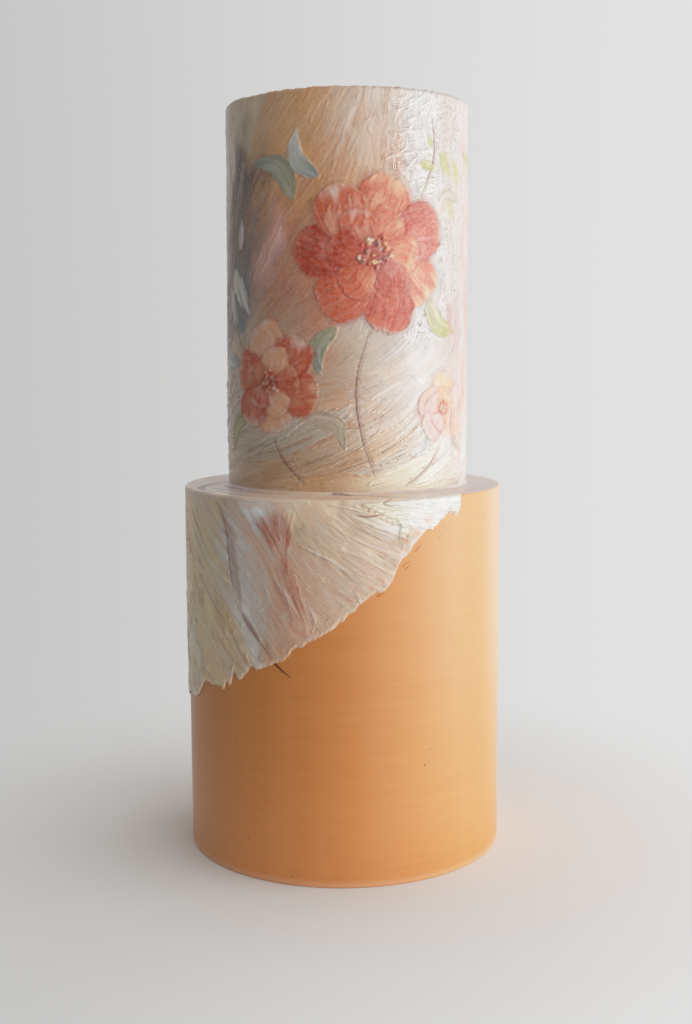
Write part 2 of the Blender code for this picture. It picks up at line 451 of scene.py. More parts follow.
def bloom(canvas, x, z, radius, petals, turn, schemes, spin=1):
    """An open flower: a ring of large petals, a ring of smaller ones, and a heart of dabs."""
    for ring, (share, count, offset) in enumerate(((1.0, petals, 0.0), (0.62, petals - 1, 0.5))):
        order = list(range(count))
        random.shuffle(order)
        for k in order:
            heading = turn + (k + offset) * 2 * math.pi / count + random.normal(0, 0.07)
            reach = radius * share * random.uniform(0.9, 1.06)
            width = 2 * math.pi * radius * share * 0.62 / count * random.uniform(1.15, 1.4)
            scheme = schemes[(k + ring) % len(schemes)]
            petal(canvas, (x, z), heading, reach, width, scheme, spin * random.uniform(0.4, 1.2))
    heart_dabs(canvas, x, z, radius)


def heart_dabs(canvas, x, z, radius):
    """The heart of a flower: a short thick stroke under many small dabs."""
    across, up = radius * 0.1, radius * 0.05
    canvas.stroke(
        ((x - across, z - up), (x, z), (x + across, z + up)), radius * 0.2, (RUSSET, TERRACOTTA),
        form=line_form, body=0.4, ridge=0.1, dry=0.05, tail=0.1, soft=1.5,
    )
    for k in range(26):
        away = radius * 0.17 * math.sqrt(random.random())
        angle = random.uniform(0, 2 * math.pi)
        spot = np.array([x + away * math.cos(angle), z + away * math.sin(angle)])
        reach = towards(angle) * radius * random.uniform(0.05, 0.1)
        paint = (OCHRE, TERRACOTTA, BROWN, CREAM, RUSSET)[k % 5]
        canvas.stroke(
            (spot, spot + reach / 2, spot + reach), radius * random.uniform(0.05, 0.08),
            (paint, mixed(paint, CREAM, 0.3)), form=leaf_form, body=0.8, dry=0.1, tail=0.1, streak=0.3,
            pearl=0.4,
        )


def leaf(canvas, start, heading, length, width, colours, bend=0.3):
    """A leaf in two passes with a drawn midrib."""
    out = towards(heading)
    left = np.array([-out[1], out[0]])
    start = np.array(start, float)
    middle = start + out * length * 0.5 + left * bend * length * 0.25
    tip = start + out * length
    canvas.stroke(
        (start, middle, tip), width, colours, form=leaf_form, dry=0.1, tail=0.1, streak=0.25, comb=0.15,
        soft=1.5,
    )
    shift = left * width * 0.16
    canvas.stroke(
        (start, middle + shift, tip - out * 2), width * 0.4,
        (mixed(colours[0], PEARL, 0.25), mixed(colours[-1], PEARL, 0.5)), form=leaf_form, body=0.35,
        ridge=0.1, dry=0.4, tail=0.3, streak=0.3, pearl=0.7, cover=0.7,
    )
    canvas.line((start, middle, tip), 0.8, mixed(colours[0], BROWN, 0.6), dry=0.4, cover=0.7)
    outline(canvas, (start, middle, tip), width, leaf_form, mixed(colours[0], BROWN, 0.6), 0.6)


def scribble(canvas, low, high, count):
    """Short curls of the knife in pearl, all over a patch between two corners.

    Wide combed ones come first and thin ones lie over them.
    """
    for k in range(count):
        thin = k > count * 0.35
        spot = np.array([random.uniform(low[0], high[0]), random.uniform(low[1], high[1])])
        heading = random.normal(0.6, 0.7)
        step = towards(heading) * random.uniform(3, 7) * (1 if thin else 1.5)
        bend = np.array([-step[1], step[0]]) * random.uniform(-0.4, 0.4)
        paint = mixed(paint_at(UPPER_ZONES, *spot, canvas.period), PEARL, random.uniform(0, 0.5))
        width = random.uniform(0.9, 2.0) if thin else random.uniform(4, 9)
        canvas.stroke(
            (spot - step, spot + bend, spot + step), width, (paint, paint), form=line_form,
            body=0.3 if thin else 0.15, ridge=0.2, comb=0 if thin else 1, dry=0.3, tail=0.3, streak=0.12,
            pearl=1.3, cover=0.75, soft=0.9 if thin else 2.5,
        )


# ---------------------------------------------------------------- sheets of mesh


def spaced_angles(stops):
    """Angles in degrees for the columns. A stop is where a stretch begins and its spacing in degrees."""
    angles = []
    for (begin, spacing), (end, _) in zip(stops, stops[1:]):
        angles.append(np.linspace(begin, end, max(2, round((end - begin) / spacing)), endpoint=False))
    return np.concatenate([*angles, [stops[-1][0]]])


def normals_of(points, closed):
    """The outward direction at each point of a sheet of rows and columns."""
    up = np.gradient(points, axis=0)
    if closed:
        round_ = np.roll(points, -1, axis=1) - np.roll(points, 1, axis=1)
        round_[:, 0] = round_[:, -1] = points[:, 1] - points[:, -2]
    else:
        round_ = np.gradient(points, axis=1)
    found = np.cross(round_, up)
    return found / np.maximum(np.linalg.norm(found, axis=2, keepdims=True), 1e-12)


def numbered(points, hidden):
    """The vertices of a sheet and of the hidden rows behind it, and their numbers by row and column.

    A hidden row is one point, or a point for each column.
    """
    rows, columns = points.shape[:2]
    index = [np.arange(rows * columns).reshape(rows, columns)]
    places = [points.reshape(-1, 3)]
    count = rows * columns
    for row in hidden:
        row = np.atleast_2d(row)
        index.append(np.broadcast_to(np.arange(len(row)) + count, (1, columns)))
        places.append(row)
        count += len(row)
    return np.vstack(index), np.vstack(places)


def faces_between(index, rows, ring):
    """The corners of all faces, how many each face has, and which corners are on the sheet.

    The sheet is the first rows. ring joins the last column to the first. Without it both ends are closed.
    """
    below, above = index, np.roll(index, -1, axis=0)
    if ring:
        quads = np.stack([below, np.roll(below, -1, 1), np.roll(above, -1, 1), above], axis=-1)
    else:
        quads = np.stack([below[:, :-1], below[:, 1:], above[:, 1:], above[:, :-1]], axis=-1)
    on_sheet = np.zeros(quads.shape[:2], bool)
    on_sheet[: rows - 1] = True
    quads, on_sheet = quads.reshape(-1, 4), on_sheet.ravel()
    flat_low, flat_high = quads[:, 0] == quads[:, 1], quads[:, 2] == quads[:, 3]
    whole = ~flat_low & ~flat_high
    kinds = [quads[whole], quads[flat_low & ~flat_high][:, 1:], quads[flat_high & ~flat_low][:, :3]]
    loops = [kind.ravel() for kind in kinds]
    sizes = [np.full(len(kind), kind.shape[1]) for kind in kinds]
    if not ring:
        loops += [index[:, 0], index[::-1, -1]]
        sizes += [[len(index)], [len(index)]]
    loops, sizes = np.concatenate(loops).astype(np.int32), np.concatenate(sizes).astype(np.int32)
    sheet_loops = np.zeros(len(loops), bool)
    sheet_loops[: 4 * whole.sum()] = np.repeat(on_sheet[whole], 4)
    return loops, sizes, sheet_loops


def smooth_mesh(name, places, loops, sizes):
    mesh = bpy.data.meshes.new(name)
    mesh.vertices.add(len(places))
    mesh.vertices.foreach_set("co", (places * MM).astype(np.float32).ravel())
    mesh.loops.add(len(loops))
    mesh.loops.foreach_set("vertex_index", loops)
    mesh.polygons.add(len(sizes))
    mesh.polygons.foreach_set("loop_start", np.concatenate([[0], np.cumsum(sizes)[:-1]]).astype(np.int32))
    mesh.polygons.foreach_set("use_smooth", np.ones(len(sizes), bool))
    mesh.update(calc_edges=True)
    mesh.validate()
    return mesh


def add_field(mesh, field, values):
    """Gives each vertex of the sheet its colour or number. The hidden ones take the first vertex's."""
    coloured = values.ndim == 3
    flat = values.reshape(values.shape[0] * values.shape[1], -1)
    full = np.ones((len(mesh.vertices), 4 if coloured else 1), np.float32)
    full[: len(flat), : flat.shape[1]] = flat
    full[len(flat) :] = full[0]
    attribute = mesh.attributes.new(field, "FLOAT_COLOR" if coloured else "FLOAT", "POINT")
    attribute.data.foreach_set("color" if coloured else "value", full.ravel())


def add_bake_map(mesh, places, loops, sheet_loops, rows, columns):
    """The bake's map: the sheet fills it, and a strip along its foot takes the hidden faces."""
    strip = 0.03
    map_u, map_v = np.meshgrid(np.linspace(0.002, 0.998, columns), np.linspace(strip + 0.01, 0.998, rows))
    at = np.zeros((len(places), 2))
    at[: rows * columns] = np.stack([map_u.ravel(), map_v.ravel()], axis=1)
    behind = places[:, 2] / (places[:, 2].max() + 1) * 0.9 + 0.05
    depth = np.hypot(places[:, 0], places[:, 1]) / 120 * strip * 0.9
    uv = np.where(sheet_loops[:, None], at[loops], np.stack([behind, depth], axis=1)[loops])
    mesh.uv_layers.new(name="OFBake").uv.foreach_set("vector", uv.astype(np.float32).ravel())


def sheet_object(name, points, normals, fields, hidden, finish, part, ring=False):
    """A closed body: a fine sheet of rows and columns, and the hidden rows that run back behind it."""
    rows, columns = points.shape[:2]
    index, places = numbered(points, hidden)
    loops, sizes, sheet_loops = faces_between(index, rows, ring)
    mesh = smooth_mesh(name, places, loops, sizes)
    for field, values in fields.items():
        add_field(mesh, field, values)
    add_bake_map(mesh, places, loops, sheet_loops, rows, columns)
    corner = np.zeros((len(loops), 3), np.float32)
    facing = np.vstack([normals.reshape(-1, 3), np.zeros((len(places) - rows * columns, 3))])
    corner[sheet_loops] = facing[loops[sheet_loops]]
    mesh.normals_split_custom_set(corner)
    return placed(name, mesh, finish, part)


def placed(name, mesh, finish, part):
    """Puts a piece in the scene to ride with the cake, gives it this finish, and hides the part's node that
    it stands for.
    """
    obj = bpy.data.objects.new(name, mesh)
    bpy.context.scene.collection.objects.link(obj)
    mesh.materials.append(finish)
    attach(obj, "root")
    node, slot = part
    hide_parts(node)
    return obj


def polar(degrees, radius, height, shift=0.0):
    """Points at these angles from the front, in millimetres."""
    angle = np.radians(degrees)
    x, y = shift + radius * np.sin(angle), -radius * np.cos(angle)
    return np.stack(np.broadcast_arrays(x, y, height), axis=-1)


def paint_fields(canvas):
    fields = {"paint": canvas.colour, "across": canvas.across, "comb": canvas.comb, "pearl": canvas.pearl}
    return {name: canvas.values(field) for name, field in fields.items()}


# ---------------------------------------------------------------- materials


class Nodes:
    """The nodes of a material or a world. A call adds one node and gives one of its outputs."""

    def __init__(self, owner):
        self.owner = owner
        owner.use_nodes = True
        self.tree = owner.node_tree
        self.tree.nodes.clear()

    def add(self, kind, inputs=None, output=0, **settings):
        """Adds a node, with a socket or a plain value for each of these inputs."""
        node = self.tree.nodes.new(kind)
        for key, value in settings.items():
            setattr(node, key, value)
        for key, value in (inputs or {}).items():
            if isinstance(value, bpy.types.NodeSocket):
                self.tree.links.new(value, node.inputs[key])
            else:
                node.inputs[key].default_value = value
        return node.outputs[output] if node.outputs else None

    def math(self, operation, a, b=0.0):
        return self.add("ShaderNodeMath", {0: a, 1: b}, operation=operation)

    def attribute(self, name, output):
        return self.add("ShaderNodeAttribute", output=output, attribute_name=name)

    def mix(self, share, a, b, blend="MIX"):
        inputs = {0: share, 6: a, 7: b}
        return self.add("ShaderNodeMix", inputs, output=2, data_type="RGBA", blend_type=blend)

    def ranged(self, value, low, high, to_low, to_high):
        inputs = {0: value, 1: low, 2: high, 3: to_low, 4: to_high}
        return self.add("ShaderNodeMapRange", inputs, interpolation_type="SMOOTHSTEP")

    def place(self, space=3):
        """Where a point lies, as the object has it, or by space 0 as the world's sky has it."""
        return self.add("ShaderNodeTexCoord", output=space)

    def noise(self, where, scale, detail=2.0):
        return self.add("ShaderNodeTexNoise", {"Vector": where, "Scale": scale, "Detail": detail})

    def finish(self, inputs):
        shader = self.add("ShaderNodeBsdfPrincipled", inputs)
        self.add("ShaderNodeOutputMaterial", {0: shader})
        return self.owner


COMB_SPACING = 1.3  # millimetres from one comb line to the next


def painted_finish(name):
    """Pearly painted buttercream: its paint, comb lines that lie along each stroke, and a fine grain."""
    n = Nodes(bpy.data.materials.new(name))
    where = n.place()
    paint = n.attribute("paint", 0)
    wobble = n.math("MULTIPLY", n.noise(where, 260.0), 2.2)
    across = n.math("MULTIPLY", n.attribute("across", 2), 2 * math.pi / COMB_SPACING)
    wave = n.math("SINE", n.math("ADD", across, wobble))
    comb = n.attribute("comb", 2)
    lines = n.math("MULTIPLY", wave, comb)
    grain = n.noise(where, 900.0, 3.0)
    height = n.math("ADD", n.math("MULTIPLY", lines, 0.5), n.math("MULTIPLY", grain, 0.35))
    groove = n.math("MULTIPLY", n.ranged(wave, -0.1, -1.0, 0.0, 1.0), comb)
    groove_share = n.math("MULTIPLY", groove, 0.4)
    colour = n.mix(groove_share, paint, n.mix(1.0, paint, (0.62, 0.52, 0.47, 1), "MULTIPLY"))
    blotch = n.ranged(n.noise(where, 420.0, 3.0), 0.35, 0.75, 0.0, 0.12)
    colour = n.mix(blotch, colour, (0.9, 0.86, 0.84, 1))
    pearl = n.attribute("pearl", 2)
    metallic = n.ranged(pearl, 0.2, 1.2, 0.0, 0.22)
    roughness = n.ranged(pearl, 0.0, 1.2, 0.46, 0.30)
    roughness = n.math("ADD", roughness, n.ranged(grain, 0.3, 0.7, -0.05, 0.05))
    return n.finish({
        "Base Color": colour,
        "Metallic": metallic,
        "Roughness": roughness,
        "Subsurface Weight": 0.2,
        "Subsurface Radius": (1.0, 0.7, 0.5),
        "Subsurface Scale": 1 * MM,
        "Coat Weight": 0.3,
        "Coat Roughness": 0.2,
        "Normal": n.add("ShaderNodeBump", {"Strength": 1.0, "Distance": 0.16 * MM, "Height": height}),
    })


def peach_finish(name):
    """Smooth peach buttercream, scraped level, with faint marks of the scraper, a satin gloss and a painted
    reflection at its foot.
    """
    n = Nodes(bpy.data.materials.new(name))
    where = n.place()
    level = n.add("ShaderNodeMapping", {"Vector": where, "Scale": (1.0, 1.0, 14.0)})
    upright = n.add("ShaderNodeMapping", {"Vector": where, "Scale": (9.0, 9.0, 0.6)})
    scrape = n.noise(level, 22.0, 4.0)
    drag = n.noise(upright, 9.0, 3.0)
    pores = n.noise(where, 1500.0, 2.0)
    base = n.mix(n.ranged(scrape, 0.3, 0.7, 0.0, 1.0), (0.70, 0.252, 0.045, 1), (0.73, 0.275, 0.057, 1))
    base = n.mix(n.ranged(drag, 0.35, 0.75, 0.0, 0.4), base, (0.74, 0.295, 0.082, 1))
    height = n.add("ShaderNodeSeparateXYZ", {0: where}, output=2)
    # Painted light: the bottom few millimetres are painted lighter, a painted reflection of light from
    # below the foot.
    base = n.mix(n.ranged(height, 0.006, 0.0015, 0.0, 0.45), base, (0.86, 0.50, 0.30, 1))
    bump = n.math("ADD", n.math("MULTIPLY", scrape, 0.8), n.math("MULTIPLY", pores, 0.1))
    return n.finish({
        "Base Color": base,
        "Roughness": n.ranged(scrape, 0.3, 0.7, 0.46, 0.54),
        "Subsurface Weight": 0.3,
        "Subsurface Radius": (1.0, 0.45, 0.2),
        "Subsurface Scale": 2 * MM,
        "Coat Weight": 1.0,
        "Coat Roughness": 0.45,
        "Normal": n.add("ShaderNodeBump", {"Strength": 0.6, "Distance": 0.2 * MM, "Height": bump}),
    })


def plain_finish(name, colour, roughness):
    n = Nodes(bpy.data.materials.new(name))
    where = n.place()
    spread = n.noise(where, 1200.0, 2.0)
    dark = tuple(linear(colour) * 0.7)
    return n.finish({"Base Color": n.mix(spread, (*dark, 1), (*linear(colour), 1)), "Roughness": roughness})


# ---------------------------------------------------------------- lower tier


def bare(degrees):
    """1 where no coat hangs over the rim, and 0 where it does."""
    past = wrapped(degrees - (COAT_END + (360 - COAT_SPAN) / 2))
    half = (360 - COAT_SPAN) / 2
    return smooth((half - np.abs(past)) / 3 + 0.5)


def peach_profile(foot=1.2, wall_rows=130):
    """Radius and height of each row of the peach tier, from its foot up and in over its rim."""
    turn = np.linspace(0, math.pi / 2, 5)
    profile = [(LOWER_RADIUS - foot + foot * math.sin(t), foot - foot * math.cos(t)) for t in turn]
    top, rim = LOWER_TOP - LOWER_ROUNDING, LOWER_RADIUS
    profile += [(rim, z) for z in np.linspace(foot, top, wall_rows)[1:-1]]
    profile += [
        (rim - LOWER_ROUNDING * (1 - math.cos(t)), top + LOWER_ROUNDING * math.sin(t)) for t in turn
    ]
    profile += [(r, LOWER_TOP) for r in (105.6, 104.6, 103.0, 101.0, 98.0, 85.0)]
    return (np.array(v)[:, None] for v in zip(*profile))


def peach_tier(finish):
    """The scraped tier. Its wall wavers by a tenth of a millimetre. Its bare rim is as high as the coat."""
    degrees = np.linspace(-180, 180, 480, endpoint=False)
    radius, height = peach_profile()
    phi = np.radians(degrees)[None, :]
    waver = 0.07 * np.sin(3 * phi + 1) + 0.05 * np.sin(7 * phi + 0.01 * height)
    waver = waver + 0.035 * np.sin(16 * phi + 2)
    waver = waver + 0.05 * np.sin(height / 17 + 2 * np.sin(phi)) + 0.03 * np.sin(height / 5.3 + 3 * phi)
    on_wall = smooth((radius - 104) / 2.5) * smooth(height / 2)
    lift = 1.25 * bare(degrees)[None, :] * smooth((radius - 98) / 5) * (height > LOWER_TOP - 3)
    points = polar(degrees[None, :], radius + waver * on_wall, height + lift)
    hidden = [np.array([[0.0, 0.0, LOWER_TOP]]), np.array([[0.0, 0.0, 0.0]])]
    normals = normals_of(np.concatenate([points[:, -1:], points, points[:, :1]], axis=1), False)[:, 1:-1]
    sheet_object("peach_tier", points, normals, {}, hidden, finish, PEACH_PART, ring=True)


# ---------------------------------------------------------------- painted coat


def coat_drop(degrees):
    """How far below the ledge the torn edge lies: half a sine wave with nicks and a fine grain."""
    along = (COAT_END - degrees) % 360
    drop = COAT_DEPTH * np.sin(math.pi * np.clip(along / COAT_SPAN, 0, 1))
    for centre, rise, half_width in TEARS:
        drop = drop - rise * np.exp(-((wrapped(degrees - centre) / half_width) ** 2))
    grain = noise(degrees / 1.7, 3.3) + 0.6 * noise(degrees / 0.62, 7.1) - 0.8
    return np.maximum(drop + TEAR_GRAIN * 2 * grain, 3.2)


def drop_at(degrees):
    return float(coat_drop(np.array([degrees]))[0])


def foot_radius(degrees):
    """The distance from the lower tier's axis to the upper tier's foot."""
    angle = np.radians(degrees)
    shift = UPPER_SHIFT - UPPER_LEAN
    reach = np.sqrt((UPPER_RADIUS + UPPER_FLARE) ** 2 - (shift * np.cos(angle)) ** 2)
    return shift * np.sin(angle) + reach - 0.3


def coat_sheet(degrees, wall_rows, ledge_rows, rim_rows):
    """The coat's plain outer face by rows from the torn edge up, as radius, height, tilt and unrolled z."""
    rounding = LOWER_ROUNDING + (LEDGE - LOWER_TOP)
    rim = LOWER_RADIUS - LOWER_ROUNDING
    inner = foot_radius(degrees)
    parts = []
    if wall_rows:
        drop = coat_drop(degrees)
        share = np.linspace(0, 1, wall_rows, endpoint=False)[:, None]
        height = (LEDGE - drop) + (drop - rounding) * share
        parts.append((np.full(height.shape, rim + rounding), height, np.zeros(height.shape), height))
        turns = np.linspace(0, 1, rim_rows, endpoint=False)[:, None]
    else:
        turns = np.linspace(0.82, 1, rim_rows, endpoint=False)[:, None]
        rounding = rounding * 0.5
    turn = np.broadcast_to(turns * math.pi / 2, (rim_rows, len(degrees)))
    radius = rim + rounding * np.cos(turn)
    height = LEDGE - rounding + rounding * np.sin(turn)
    parts.append((radius, height, turn, LEDGE - rounding + rounding * turn))
    share = np.linspace(0, 1, ledge_rows)[:, None] ** 0.9
    radius = rim + (inner - rim) * share
    flat, level = np.full(radius.shape, math.pi / 2), np.full(radius.shape, LEDGE)
    parts.append((radius, level, flat, LEDGE + rim - radius))
    return [np.vstack(column) for column in zip(*parts)]


# Zones of paint on the coat: angle, height, reach across, reach up and colour
COAT_ZONES = (
    (-72, 215, 18, 40, (244, 218, 173)), (-67, 140, 12, 26, (248, 238, 216)),
    (-54, 190, 14, 50, (244, 218, 173)), (-46, 150, 10, 40, (240, 210, 168)),
    (-43, 232, 7, 20, (220, 190, 172)), (-34, 208, 9, 34, (232, 238, 238)),
    (-31, 180, 9, 24, (222, 214, 206)), (-24, 216, 6, 15, (214, 160, 130)),
    (-24, 205, 7, 16, (222, 192, 168)), (-27, 157, 8, 12, (214, 174, 140)),
    (-17, 238, 7, 12, (236, 210, 172)), (-16, 195, 8, 30, (224, 174, 138)),
    (-6, 225, 12, 18, (238, 217, 180)), (-6, 183, 10, 20, (228, 190, 160)),
    (5, 213, 12, 26, (220, 194, 168)), (14, 210, 10, 16, (214, 180, 154)),
    (15, 232, 10, 12, (218, 204, 188)), (30, 240, 16, 12, (238, 232, 220)),
    (-100, 180, 20, 60, (230, 206, 172)), (-125, 220, 24, 40, (224, 206, 186)),
    (-130, 160, 24, 30, (232, 212, 188)), (-155, 205, 24, 40, (228, 216, 204)),
    (-178, 225, 24, 30, (226, 200, 176)), (162, 236, 24, 24, (230, 208, 194)),
    (-6, 262, 50, 14, (253, 222, 194)), (60, 262, 60, 14, (214, 194, 190)), (120, 262, 60, 14, MAUVE),
    (180, 262, 60, 14, MAUVE), (-60, 262, 50, 14, MAUVE), (-120, 262, 60, 14, MAUVE),
)


def coat_flow(x, z):
    """Passes lean steeply down to the right on the left side, and lie nearly level at the upper right."""
    degrees = math.degrees(x / LOWER_RADIUS)
    if z > LEDGE:
        return 0.05
    if not -105 < degrees < 60:
        return -1.1 + 0.3 * math.sin(x / 40)
    lean = -0.8 - 0.25 * math.exp(-(((degrees + 25) / 15) ** 2)) + 0.4 * float(smooth((degrees + 15) / 30))
    return lean + 0.35 * float(smooth((z - 225) / 12) * smooth((degrees - 5) / 15))


def flow_at(degrees, height):
    return coat_flow(math.radians(degrees) * LOWER_RADIUS, height)


def along_flow(degrees, height, wander, lengths):
    """A place on the coat, and a step of a random length from it that nearly follows the flow."""
    heading = flow_at(degrees, height) + random.normal(0, wander)
    return np.array(wall_place(degrees, height)), random.uniform(*lengths) * towards(heading)


# Features of the coat, each through angles and heights. The creases are raised ridges painted near white, a
# painted highlight along each.
CREASE_RIDGES_AND_HIGHLIGHTS = (
    ((-25, 203), (-20.6, 189), (-16.4, 174), (-11.5, 159)), ((-23, 199), (-18.8, 186), (-14.5, 172)),
    ((-57, 191), (-46.6, 171), (-39.6, 157), (-34, 149)), ((-60, 178), (-50, 160), (-42, 146)),
    ((-66, 214), (-58, 196), (-51, 180)), ((-72, 170), (-62, 150), (-55, 138)),
    ((-48, 180), (-41, 163), (-36, 152)), ((-66, 232), (-63, 226), (-60, 223)),
    ((-33, 178), (-29, 176.5), (-27, 179), (-24.5, 178)), ((-12, 182), (-9.5, 172), (-11, 163)),
    ((3, 190), (5, 186), (5.5, 180)), ((-80, 150), (-74, 132), (-70, 122)),
    ((-69, 200), (-62, 178), (-55, 160)), ((-63, 226), (-57, 210), (-52, 196)),
    ((-44, 214), (-42, 200), (-39, 186)), ((-54, 164), (-48, 150), (-44, 138)),
    ((-8, 214), (0, 204), (5, 192)), ((-15, 219), (-9, 214), (-2, 208)), ((-5, 244), (4, 241), (12, 236)),
    ((-28, 196), (-25, 184), (-21, 172)), ((-66, 150), (-60, 138), (-56, 130)),
)
COAT_STEMS = (
    ((17.5, 250), (15.5, 247), (13, 244.5), (16, 242.5), (18, 245)),
    ((3, 238), (8, 236.5), (13, 238)),
    ((-37, 173), (-31.6, 161.5), (-26.1, 149.5), (-23, 142)),
    ((-120, 250), (-126, 220), (-124, 190), (-117, 165)),
    ((170, 262), (176, 240), (182, 215), (190, 190)),
)


# Lines over the ledge, where 247 is its rim and 273 its inner edge, with their widths
LEDGE_LINES = (
    (((-6, 272), (4, 269), (12, 263), (18, 255), (20, 249)), 4),
    (((-62, 250), (-72, 254), (-82, 262), (-90, 270)), 6), (((-78, 272), (-66, 272), (-54, 273)), 4),
    (((-70, 258), (-62, 262), (-50, 264)), 3), (((-40, 252), (-52, 255), (-62, 259)), 2.5),
    (((-30, 268), (-44, 270), (-56, 269)), 2.5),
)


def bristles(canvas, count, points, spread, paints, cover):
    """Fine brush marks that start apart, as wide as spread says, and close in along the points."""
    top, middle, end = (np.array(wall_place(*p)) for p in points)
    for k in range(count):
        shift = np.array([random.uniform(-spread, spread), random.uniform(-4, 4)])
        paint = mixed(paints[k % len(paints)], TAUPE, random.uniform(0, 0.3))
        path = (top + shift, middle + shift * (0.5, 0.5), end + shift * (0.2, 1))
        canvas.stroke(
            path, random.uniform(0.8, 2.0), (mixed(paint, TAUPE, 0.5), paint, paint), form=leaf_form,
            body=0.2, ridge=0.15, dry=0.5, tail=0.4, streak=0.3, pearl=0.4,
            cover=cover * random.uniform(0.7, 1.3), soft=0.7,
        )


def stain(canvas, points, width, paints, **finish):
    """A thin soft stroke of paint through these angles and heights."""
    canvas.stroke(wall_path(points), width, paints, form=leaf_form, body=0.1, ridge=0.1, **finish)


# Soft stains under the fan's bristles: path, width, paint and cover
FAN_STAINS = (
    (((-27, 240), (-24, 230), (-21, 212)), 22, mixed(CORAL, TAUPE, 0.5), 0.35),
    (((-21, 214), (-17.5, 192), (-12, 164)), 9, mixed(CORAL, TAUPE, 0.55), 0.3),
    (((-20, 176), (-15, 168), (-11, 163)), 12, mixed(CORAL, TAUPE, 0.3), 0.4),
)


# The fan's bristles, in the order they are laid: count, path, spread, paints and cover
BRICK, RUST = mixed(TERRACOTTA, BROWN, 0.15), mixed(CORAL, BROWN, 0.2)
FAN_LIGHT = (mixed(CORAL, TAUPE, 0.2), mixed(CORAL, BLUSH, 0.3), mixed(TERRACOTTA, TAUPE, 0.2))
FAN_PALE = (mixed(CORAL, TAUPE, 0.35), mixed(TERRACOTTA, BROWN, 0.4), mixed(CORAL, BROWN, 0.3))
FAN_BRISTLES = (
    (44, ((-25, 240), (-23, 226), (-20.4, 208)), 18, FAN_LIGHT, 0.34),
    (13, ((-30.5, 236), (-26.5, 227), (-21.5, 213)), 6, (BRICK, RUST, BRICK), 0.62),
    (9, ((-25, 238), (-23, 227), (-20.8, 213)), 4, (RUST, BRICK, RUST), 0.6),
    (7, ((-18.2, 232), (-18.2, 224), (-19.5, 213)), 2.6, (BRICK, BRICK, RUST), 0.62),
    (9, ((-20.8, 216), (-19.6, 208), (-18.6, 198)), 3, (BRICK, RUST, BRICK), 0.5),
    (16, ((-20.3, 212), (-16.3, 190), (-10.5, 163)), 5, FAN_PALE, 0.42),
    (10, ((-24, 208), (-20.5, 188), (-15.5, 162)), 5, FAN_PALE, 0.36),
)


def russet_fan(canvas):
    """Russet brush marks that come down from the rim, meet, and run on towards the torn edge."""
    for points, width, paint, cover in FAN_STAINS:
        paints = (paint, mixed(paint, TAUPE, 0.3))
        stain(canvas, points, width, paints, dry=0.3, tail=0.3, streak=0.25, cover=cover, soft=5)
    for count, points, spread, paints, cover in FAN_BRISTLES:
        bristles(canvas, count, points, spread, paints, cover)
    paints = (mixed(RUSSET, TAUPE, 0.5), mixed(BROWN, RUSSET, 0.6))
    points = ((-37.5, 176), (-32, 163), (-26, 150))
    stain(canvas, points, 5, paints, dry=0.3, streak=0.3, cover=0.6, soft=2)
    paints = (mixed(PEACH, TERRACOTTA, 0.35), PEACH)
    for points, width in (((-21, 170), (-17, 165), (-13, 161)), 9), (((7, 190), (10, 194), (14, 198)), 8):
        stain(canvas, points, width, paints, dry=0.45, tail=0.4, streak=0.3, cover=0.5, soft=4)


# The fold on the left, drawn as a dusky band of painted shade, and the dark line along it
FOLD = ((-49, 246), (-44, 232), (-41, 218), (-39.5, 200), (-37, 178), (-34, 166))
FOLD_LINE = ((-50, 247), (-45.5, 236), (-43, 224), (-42, 208), (-41, 196), (-39, 182), (-35, 168))
WARM_WHITE = (255, 250, 236)


def ledge_passes(canvas):
    """Level passes of the knife round the ledge."""
    for k in range(34):
        z = 257 + 11 * random.random()
        x = canvas.period * (scattered(k) - 0.5)
        paint = paint_at(COAT_ZONES, x + 25, 262, canvas.period)
        canvas.stroke(
            ((x, z), (x + 25, z + 1), (x + 55, z - 1)), random.uniform(7, 11),
            (paint, mixed(paint, PEARL, 0.3), paint), body=0.15, ridge=0.12, dry=0.12, tail=0.3,
            streak=0.08, cover=0.8, soft=2.5,
        )


def fold_shade_and_line(canvas):
    # Painted shade: a soft mauve-brown band along the fold, where the coat's own relief is slight.
    paints = (mixed(MAUVE, BROWN, 0.35), mixed(MAUVE, BROWN, 0.45), mixed(TAUPE, BROWN, 0.2))
    canvas.stroke(
        wall_path(FOLD), 8, paints, form=line_form, body=0.1, ridge=0.15, dry=0.1, streak=0.15, cover=0.6,
        soft=4,
    )
    canvas.line(wall_path(FOLD_LINE), 1.7, mixed(BROWN, MAUVE, 0.3), dry=0.3, cover=0.8)


def pearl_passes(canvas):
    """Level pearl passes on the right under the rim, and upright ones beside them. Their near white is
    partly painted highlight.
    """
    for k in range(9):
        z = 245 - 2.1 * k
        points = ((6 + 2 * k, z - 2), (20 + k, z - 0.5), (44.5 - 1.6 * k, z))
        canvas.stroke(
            wall_path(points), 3.4, (CREAM, (253, 249, 238), (253, 250, 244)), body=0.4, ridge=0.4,
            comb=1.0, dry=0.12, tail=0.1, streak=0.1, pearl=1.3, soft=1.5,
        )
    for k in range(6):
        points = ((16.5 + 0.9 * k, 236), (19 + 0.8 * k, 229), (18.5 + 0.7 * k, 221))
        canvas.stroke(wall_path(points), 1.3, (PEARL, CREAM), form=line_form, body=0.7, pearl=1.3)


